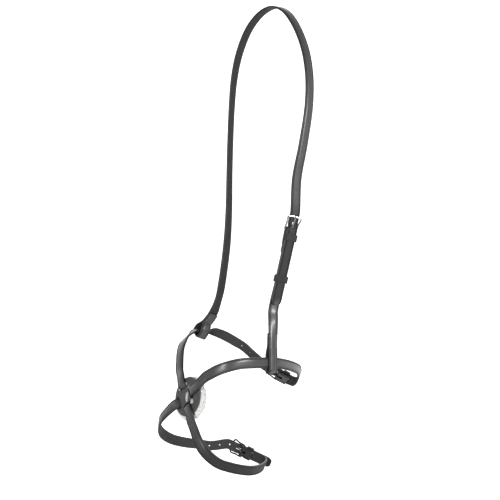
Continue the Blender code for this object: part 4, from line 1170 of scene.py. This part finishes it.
class NOSEBAND_OT_cheek_strap(bpy.types.Operator):
    """Make the near cheek piece: chape at the buckle and loop round the nose strap"""

    bl_idname = "noseband.cheek_strap"
    bl_label = "Cheek Strap"

    def execute(self, context):
        straight = [CHEEK_SEAT.station(CHEEK_STRAIGHT * i / 3) for i in range(4)]
        body = smooth(straight + stations_of(CHEEK_BELOW, head_place) + NEAR_LOOP.hanging())
        keeper_end = CHEEK_KEEPER_FROM_BAR + KEEPER_LENGTH
        depth = chape_depth(keeper_end)
        start = chape_start(body, CHEEK_SEAT, TURN_BACK, depth)
        full = body + NEAR_LOOP.bend() + turned_back(body, NEAR_LOOP.lap_end, NEAR_LOOP.depth)
        dress_strap("near_cheek_strap", full, start, HEAD_WIDTH, False,
                    [tongue_slot(CHEEK_SEAT)], "headpiece")
        rows = both_faces(body[::-1], keeper_end + LAP_MARGIN, TURN_BACK - LAP_MARGIN,
                          HEAD_WIDTH, depth)
        rows += both_faces(body, 2 * NEAR_LOOP.low + LOOP_MARGINS[0],
                           NEAR_LOOP.lap_end - LOOP_MARGINS[1], HEAD_WIDTH, NEAR_LOOP.depth)
        stitch_rows("cheek_strap_stitches", rows, "headpiece")
        return {"FINISHED"}


def nose_strap(name, heel, route, front, tail):
    """One nose strap, from its chape round one buckle to its billet through the other."""
    keeper_end = NOSE_KEEPER_FROM_BAR + KEEPER_LENGTH
    runs = (0.0, NOSE_KEEPER_FROM_BAR, NOSE_KEEPER_FROM_BAR + KEEPER_LENGTH / 2, keeper_end,
            NOSE_TURN_BACK)
    body = smooth([heel.station(run) for run in runs] + route + billet(front, tail))
    depth = chape_depth(keeper_end)
    start = chape_start(body, heel, NOSE_TURN_BACK, depth)
    cutters = punched(body, tail, HOLE_PITCH, NOSE_HOLES, SEEN_HOLE_DIAMETER)
    cutters += [tongue_hole(front), tongue_slot(heel)]
    dress_strap(name, body, start, NOSE_WIDTH, True, cutters, "noseband")
    low = keeper_end + NOSE_MARGIN
    rows = both_faces(body[::-1], low, low + NOSE_STITCHING, NOSE_WIDTH, depth)
    stitch_rows(name + "_stitches", rows, "noseband")


class NOSEBAND_OT_nose_straps(bpy.types.Operator):
    """Make the two nose straps that cross under the disc"""

    bl_idname = "noseband.nose_straps"
    bl_label = "Nose Straps"

    def execute(self, context):
        route = stations_of(UPPER_NEAR) + NEAR_LOOP.held() + stations_of(UPPER_NEAR_FRONT)
        route += passage(NEAR_PASSAGE, SHALLOW) + stations_of(LOWER_OFF)
        nose_strap("near_to_off_strap", JAW_SEAT, route, CHIN_SEAT, CHIN_TAIL)
        route = stations_of(UPPER_OFF) + passage(OFF_PASSAGE, DEEP) + stations_of(LOWER_NEAR)
        route = route[::-1] + OFF_LOOP.held() + stations_of(JAW_BILLET)[::-1]
        nose_strap("off_to_near_strap", CHIN_SEAT, route, JAW_SEAT, JAW_TAIL)
        return {"FINISHED"}


def refinish(name, material, angle):
    """Give one of the solids its material and smooth faces."""
    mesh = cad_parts[name].data
    mesh.materials.clear()
    mesh.materials.append(material)
    mesh.shade_smooth()
    mesh.set_sharp_from_angle(angle=radians(angle))


class NOSEBAND_OT_small_leather(bpy.types.Operator):
    """Give the keepers and the nose disc their leather"""

    bl_idname = "noseband.small_leather"
    bl_label = "Keepers and Disc"

    def execute(self, context):
        sizes = context.scene.noseband_leather
        band = plain_leather("keeper_leather", sizes.grain_size * 0.8)
        disc = plain_leather("disc_leather", sizes.grain_size * 1.3, lightness=3.4)
        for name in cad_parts:
            if "keeper" in name or name == "nose_disc":
                refinish(name, disc if name == "nose_disc" else band, 40)
        return {"FINISHED"}


def steel_paint(name, colour, rough):
    """Buckle steel with faint smudges and scratches."""
    paint = Paint(name)
    place = paint.place()
    smudge = paint.speckle(place, 3 * MM, 3.0, 0.6)
    scratch = paint.speckle(place, 0.4 * MM, 4.0, 0.6)
    paint.surface(Base_Color=paint.shades(smudge, colour, 0.85, 1.1), Metallic=1.0,
                  Roughness=rough + smudge * 0.16, Normal=paint.bump(scratch, 0.08, 0.1 * MM))
    return paint.material


class NOSEBAND_OT_buckles(bpy.types.Operator):
    """Give buckle frames and tongues bright steel, or rough steel darkened with painted shade"""

    bl_idname = "noseband.buckles"
    bl_label = "Buckles"

    def execute(self, context):
        looks = context.scene.noseband_finishes
        bright = steel_paint("buckle_steel", looks.steel, 0.14)
        # Painted shade: the jaw and chin buckles get a darker, rougher copy of the steel
        dull_shaded = steel_paint("dull_shaded_buckle_steel", looks.dull_shaded_steel, 0.55)
        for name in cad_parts:
            if "_buckle_" in name:
                refinish(name, bright if name.startswith("cheek") else dull_shaded, 60)
        return {"FINISHED"}


class NOSEBAND_OT_fleece(bpy.types.Operator):
    """Make the curly fleece pad behind the disc"""

    bl_idname = "noseband.fleece"
    bl_label = "Fleece Pad"

    def execute(self, context):
        look = context.scene.noseband_fleece
        front = -DISC_LEATHER - FIT_GAP
        floor = DEEP - LEATHER / 2 - FLEECE_RECESS_GAP
        outline = [(share * FLEECE_RECESS_RADIUS, floor, 0.0) for share in (0.0, 0.4, 0.8, 1.0)]
        outline += [(FLEECE_RECESS_RADIUS + 0.3 * MM, (floor + front) / 2, 0.0),
                    (FLEECE_RECESS_RADIUS + 1.0 * MM, front, 0.3)]
        outline += [(radius * FLEECE_RADIUS, front - depth * FLEECE_THICKNESS, 1.0)
                    for radius, depth in FLEECE_SECTION]
        shape = bmesh.new()
        softness = {}
        rows = []
        for radius, depth, soft in outline:
            row = []
            for step in range(FLEECE_SIDES if radius else 1):
                angle = 2 * pi * step / FLEECE_SIDES
                vertex = shape.verts.new(DISC.at(
                    radius * cos(angle), radius * sin(angle) - FLEECE_DROP * soft, depth))
                softness[vertex] = soft
                row.append(vertex)
            rows.append(row)
        for first, second in zip(rows, rows[1:]):
            for i in range(FLEECE_SIDES):
                j = (i + 1) % FLEECE_SIDES
                corners = (first[i % len(first)], first[j % len(first)],
                           second[j % len(second)], second[i % len(second)])
                shape.faces.new(list(dict.fromkeys(corners)))
        bmesh.ops.recalc_face_normals(shape, faces=shape.faces)
        shape.normal_update()
        for vertex, soft in softness.items():
            swell = (noise.noise(vertex.co / (4.5 * MM)) * 0.6
                     + noise.noise(vertex.co / (2 * MM)) * 0.4)
            vertex.co -= vertex.normal * look.lump_height * (0.35 - 0.5 * swell) * soft
        seeds = []
        chooser = random.Random(7)
        faces = [face for face in shape.faces
                 if all(softness[vertex] > SOFT_ENOUGH for vertex in face.verts)]
        weights = [face.calc_area() for face in faces]
        for face in chooser.choices(faces, weights, k=look.curl_count):
            corners = [vertex.co for vertex in face.verts]
            a, b = chooser.random(), chooser.random()
            spot = corners[0].lerp(corners[1], a)
            if len(corners) == 4:
                spot = spot.lerp(corners[3].lerp(corners[2], a), b)
            else:
                spot = spot.lerp(corners[2], b * 0.9)
            seeds.append((spot, face.normal.copy()))
        pad = link("fleece_wool", finished(shape, "fleece", outward=False), wool_paint())
        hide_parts("fleece_pad")
        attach(pad, "noseband")
        hidden = front - CURL_COVER
        curls = link("fleece_curls", curl_mesh(seeds, look.curl_length, CURL_RADIUS,
                                               lambda depth: min(depth, hidden)), wool_paint())
        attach(curls, "noseband")
        self.tufts(look)
        return {"FINISHED"}

    def tufts(self, look):
        """Wool that comes up through the slit and at the ends of the strap slots."""
        shape = bmesh.new()
        slit = DISC.across * cos(WINDOW_ANGLE) + DISC.up * sin(WINDOW_ANGLE)
        lumps = [(DISC.spot(WINDOW), slit, WINDOW_LENGTH / 2, WINDOW_WIDTH / 2, *SLIT_WOOL)]
        for table, end, side, spill in TUFTS:
            high, low = DISC.spot(table[0]), DISC.spot(table[1])
            inward = (low - high).normalized()
            across = inward.cross(DISC.out) * side
            edge = NOSE_WIDTH / 2 + FIT_GAP
            wall = (NOSE_WIDTH + SLOT_WIDTH * 0.35) / 2 + 0.6 * MM
            middle = (high, low)[end]
            lumps.append((middle + across * (edge + wall) / 2, across, (wall - edge) / 2,
                          SLOT_WIDTH * 0.3, *SLOT_WOOL))
            if spill:
                lumps.append((middle + across * (edge + spill * 2.1), across, spill,
                              spill * 1.35, *SPILT_WOOL))
        chooser = random.Random(5)
        seeds = []
        for centre, long_way, half_long, half_wide, low, high in lumps:
            side = DISC.out.cross(long_way)
            deep = (high - low) / 2
            middle = centre + DISC.out * (low + deep)
            axes = [long_way * (half_long - TUFT_INSET), side * (half_wide - TUFT_INSET),
                    DISC.out * deep]
            matrix = Matrix([[axis[row] for axis in axes] + [middle[row]] for row in range(3)]
                            + [[0, 0, 0, 1]])
            made = bmesh.ops.create_icosphere(shape, subdivisions=3, radius=1, matrix=matrix)
            for vertex in made["verts"]:
                rise = (vertex.co - DISC.centre).dot(DISC.out)
                if rise > TUFT_TOP:
                    swell = noise.noise(vertex.co / (1.6 * MM))
                    vertex.co += DISC.out * swell * min(rise, TUFT_SWELL)
                    if chooser.random() < 0.5:
                        seeds.append((vertex.co.copy(), DISC.out.copy()))
        mesh = finished(shape, "tufts", outward=False)
        curls = curl_mesh(seeds, look.curl_length * 0.5, TUFT_CURL_RADIUS,
                          lambda depth: max(depth, TUFT_LIFT))
        for name, made in (("fleece_tufts", mesh), ("tuft_curls", curls)):
            # Painted shade: the slit and slot wool is a darkened copy of the fleece wool
            tuft = link(name, made, wool_paint("slot_shaded_wool", SLOT_WOOL_SHADE_SHARE))
            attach(tuft, "noseband")


def curl_mesh(seeds, length, thickness, kept_depth):
    """Short tapering curls of wool that lie over each other; `kept_depth` gives the
    depth from the disc's face that a curl may have."""
    chooser = random.Random(11)
    shape = bmesh.new()
    for spot, out in seeds:
        side = Vector([chooser.uniform(-1, 1) for _ in range(3)])
        side = (side - out * side.dot(out)).normalized()
        turn = chooser.choice((-1, 1)) * chooser.uniform(2.0, 4.2)
        size = chooser.uniform(0.6, 1.0) * length
        place = spot - out * size * 0.08
        way = (out * 0.7 + side).normalized()
        rings = []
        for step in range(CURL_STEPS + 1):
            radius = thickness * (1 - step / CURL_STEPS) ** 0.6 + CURL_TIP_RADIUS
            u = way.cross(out).normalized()
            rings.append(ring(shape, place, u, way.cross(u), radius, 4))
            place = place + way * size / CURL_STEPS
            depth = (place - DISC.centre).dot(DISC.out)
            place += DISC.out * (kept_depth(depth) - depth)
            spin = Matrix.Rotation(turn / CURL_STEPS, 3, out)
            way = (spin @ way - out * 0.14).normalized()
        tube(shape, rings)
    return finished(shape, "curls")


def wool_paint(name="fleece_wool", shade_share=1.0):
    if name not in _made:
        colour = [c * shade_share for c in bpy.context.scene.noseband_finishes.wool]
        paint = Paint(name)
        place = paint.place()
        tuft = paint.cells(place, 2.2 * MM)
        fibre = paint.speckle(place, 0.6 * MM, 6.0, 0.7)
        # Painted shade between the tufts: darker away from each tuft's middle
        shade = paint.ramp(tuft * 0.7 + fibre * 0.3, (0.15, 1.0), (0.55, 0.72), (0.9, 0.45))
        paint.surface(Base_Color=paint.shades(shade, colour, 0.72, 1.0), Roughness=0.95,
                      Normal=paint.bump(fibre, 0.6, 0.4 * MM),
                      Sheen_Weight=0.35, Sheen_Roughness=0.6)
        _made[name] = paint.material
    return _made[name]


class NOSEBAND_OT_studio(bpy.types.Operator):
    """Make the camera, the pale floor and the soft light"""

    bl_idname = "noseband.studio"
    bl_label = "Studio"

    def execute(self, context):
        scene = context.scene
        settings = scene.noseband_studio
        low = CAD_BOUNDS[0][2] - settings.floor_drop
        near, far = FLOOR_AWAY
        profile = [(near, 0.0)]
        for step in range(FLOOR_BEND_STEPS + 1):
            angle = pi / 2 * step / FLOOR_BEND_STEPS
            profile.append((far + FLOOR_BEND * sin(angle), FLOOR_BEND * (1 - cos(angle))))
        profile.append((far + FLOOR_BEND, BACKDROP_RISE))
        turn = Matrix.Rotation(CAMERA_ROUND, 3, "Z")
        shape = bmesh.new()
        rows = [[shape.verts.new(turn @ Vector((FLOOR_HALF_WIDTH * x, away, 0))
                                 + Vector((0, 0, low + rise)))
                 for x in (-1.0, -0.5, 0.0, 0.5, 1.0)] for away, rise in profile]
        for first, second in zip(rows, rows[1:]):
            for i in range(len(first) - 1):
                shape.faces.new((first[i], first[i + 1], second[i + 1], second[i]))
        mesh = finished(shape, "studio_floor", outward=False)
        paint = Paint("studio_paper")
        place = paint.place()
        behind = (paint.part(place, 1) - paint.part(place, 0)) * 0.7071
        start, full = BACKDROP_GLOW
        fibre = paint.speckle(place, 0.05, 3.0)
        paint.surface(Base_Color=paint.shades(fibre, settings.backdrop, 0.98, 1.0),
                      Roughness=0.9, Emission_Color=paint.ramp(behind, (start, 0.0), (full, 1.0)),
                      Emission_Strength=settings.glow)
        link("studio_floor", mesh, paint.material)

        world = bpy.data.worlds.new("studio_light")
        scene.world = world
        world.use_nodes = True
        sky = world.node_tree.nodes["Background"]
        sky.inputs["Color"].default_value = (1, 1, 1, 1)
        sky.inputs["Strength"].default_value = settings.sky_strength

        for name, (stand, aim, size, share) in LAMPS.items():
            light = bpy.data.lights.new(name, "AREA")
            light.shape = "RECTANGLE"
            light.size, light.size_y = size
            light.energy = settings.key_power * share
            lamp = bpy.data.objects.new(name, light)
            lamp.location = stand
            lamp.rotation_euler = (Vector(aim) - Vector(stand)).to_track_quat("-Z", "Y").to_euler()
            scene.collection.objects.link(lamp)

        ahead = Vector((-sin(CAMERA_ROUND), cos(CAMERA_ROUND), 0))
        left = Vector((-cos(CAMERA_ROUND), -sin(CAMERA_ROUND), 0))
        eye = ahead * -CAMERA_DISTANCE - Vector((0, 0, CAMERA_DROP))
        level = ahead * cos(CAMERA_SWING) + left * sin(CAMERA_SWING)
        look = level * cos(CAMERA_DIP) - Vector((0, 0, sin(CAMERA_DIP)))
        right = look.cross(Vector((0, 0, 1))).normalized()
        up = right.cross(look)
        data = bpy.data.cameras.new("camera")
        data.sensor_width = SENSOR_WIDTH
        data.lens = SENSOR_WIDTH * FOCAL_PIXELS / PHOTO_PIXELS
        camera = bpy.data.objects.new("camera", data)
        camera.matrix_world = Matrix(((right.x, up.x, -look.x, eye.x),
                                      (right.y, up.y, -look.y, eye.y),
                                      (right.z, up.z, -look.z, eye.z), (0, 0, 0, 1)))
        scene.collection.objects.link(camera)
        scene.camera = camera
        scene.view_settings.view_transform = "Standard"
        return {"FINISHED"}


class NOSEBAND_PT_panel(bpy.types.Panel):
    """The noseband's sizes, finishes and steps"""

    bl_idname = "NOSEBAND_PT_panel"
    bl_label = "Noseband"
    bl_space_type = "VIEW_3D"
    bl_region_type = "UI"
    bl_category = "Noseband"

    def draw(self, context):
        layout = self.layout
        for title, name, group in GROUPS:
            box = layout.box()
            box.label(text=title)
            for field in group.__annotations__:
                box.prop(getattr(context.scene, name), field)
        for step in STEPS:
            layout.operator(step.bl_idname)


GROUPS = (
    ("Leather", "noseband_leather", LeatherSizes),
    ("Fleece", "noseband_fleece", FleeceSizes),
    ("Finishes", "noseband_finishes", Finishes),
    ("Studio", "noseband_studio", StudioSettings),
)
STEPS = (
    NOSEBAND_OT_studio, NOSEBAND_OT_head_strap, NOSEBAND_OT_cheek_strap, NOSEBAND_OT_nose_straps,
    NOSEBAND_OT_small_leather, NOSEBAND_OT_buckles, NOSEBAND_OT_fleece,
)


def register():
    for _, name, group in GROUPS:
        bpy.utils.register_class(group)
        setattr(bpy.types.Scene, name, PointerProperty(type=group))
    for kind in STEPS + (NOSEBAND_PT_panel,):
        bpy.utils.register_class(kind)


def unregister():
    for kind in (NOSEBAND_PT_panel,) + STEPS[::-1]:
        bpy.utils.unregister_class(kind)
    for _, name, group in reversed(GROUPS):
        delattr(bpy.types.Scene, name)
        bpy.utils.unregister_class(group)


def main():
    register()
    for step in STEPS:
        area, name = step.bl_idname.split(".")
        getattr(getattr(bpy.ops, area), name)()


if __name__ == "__main__":
    main()
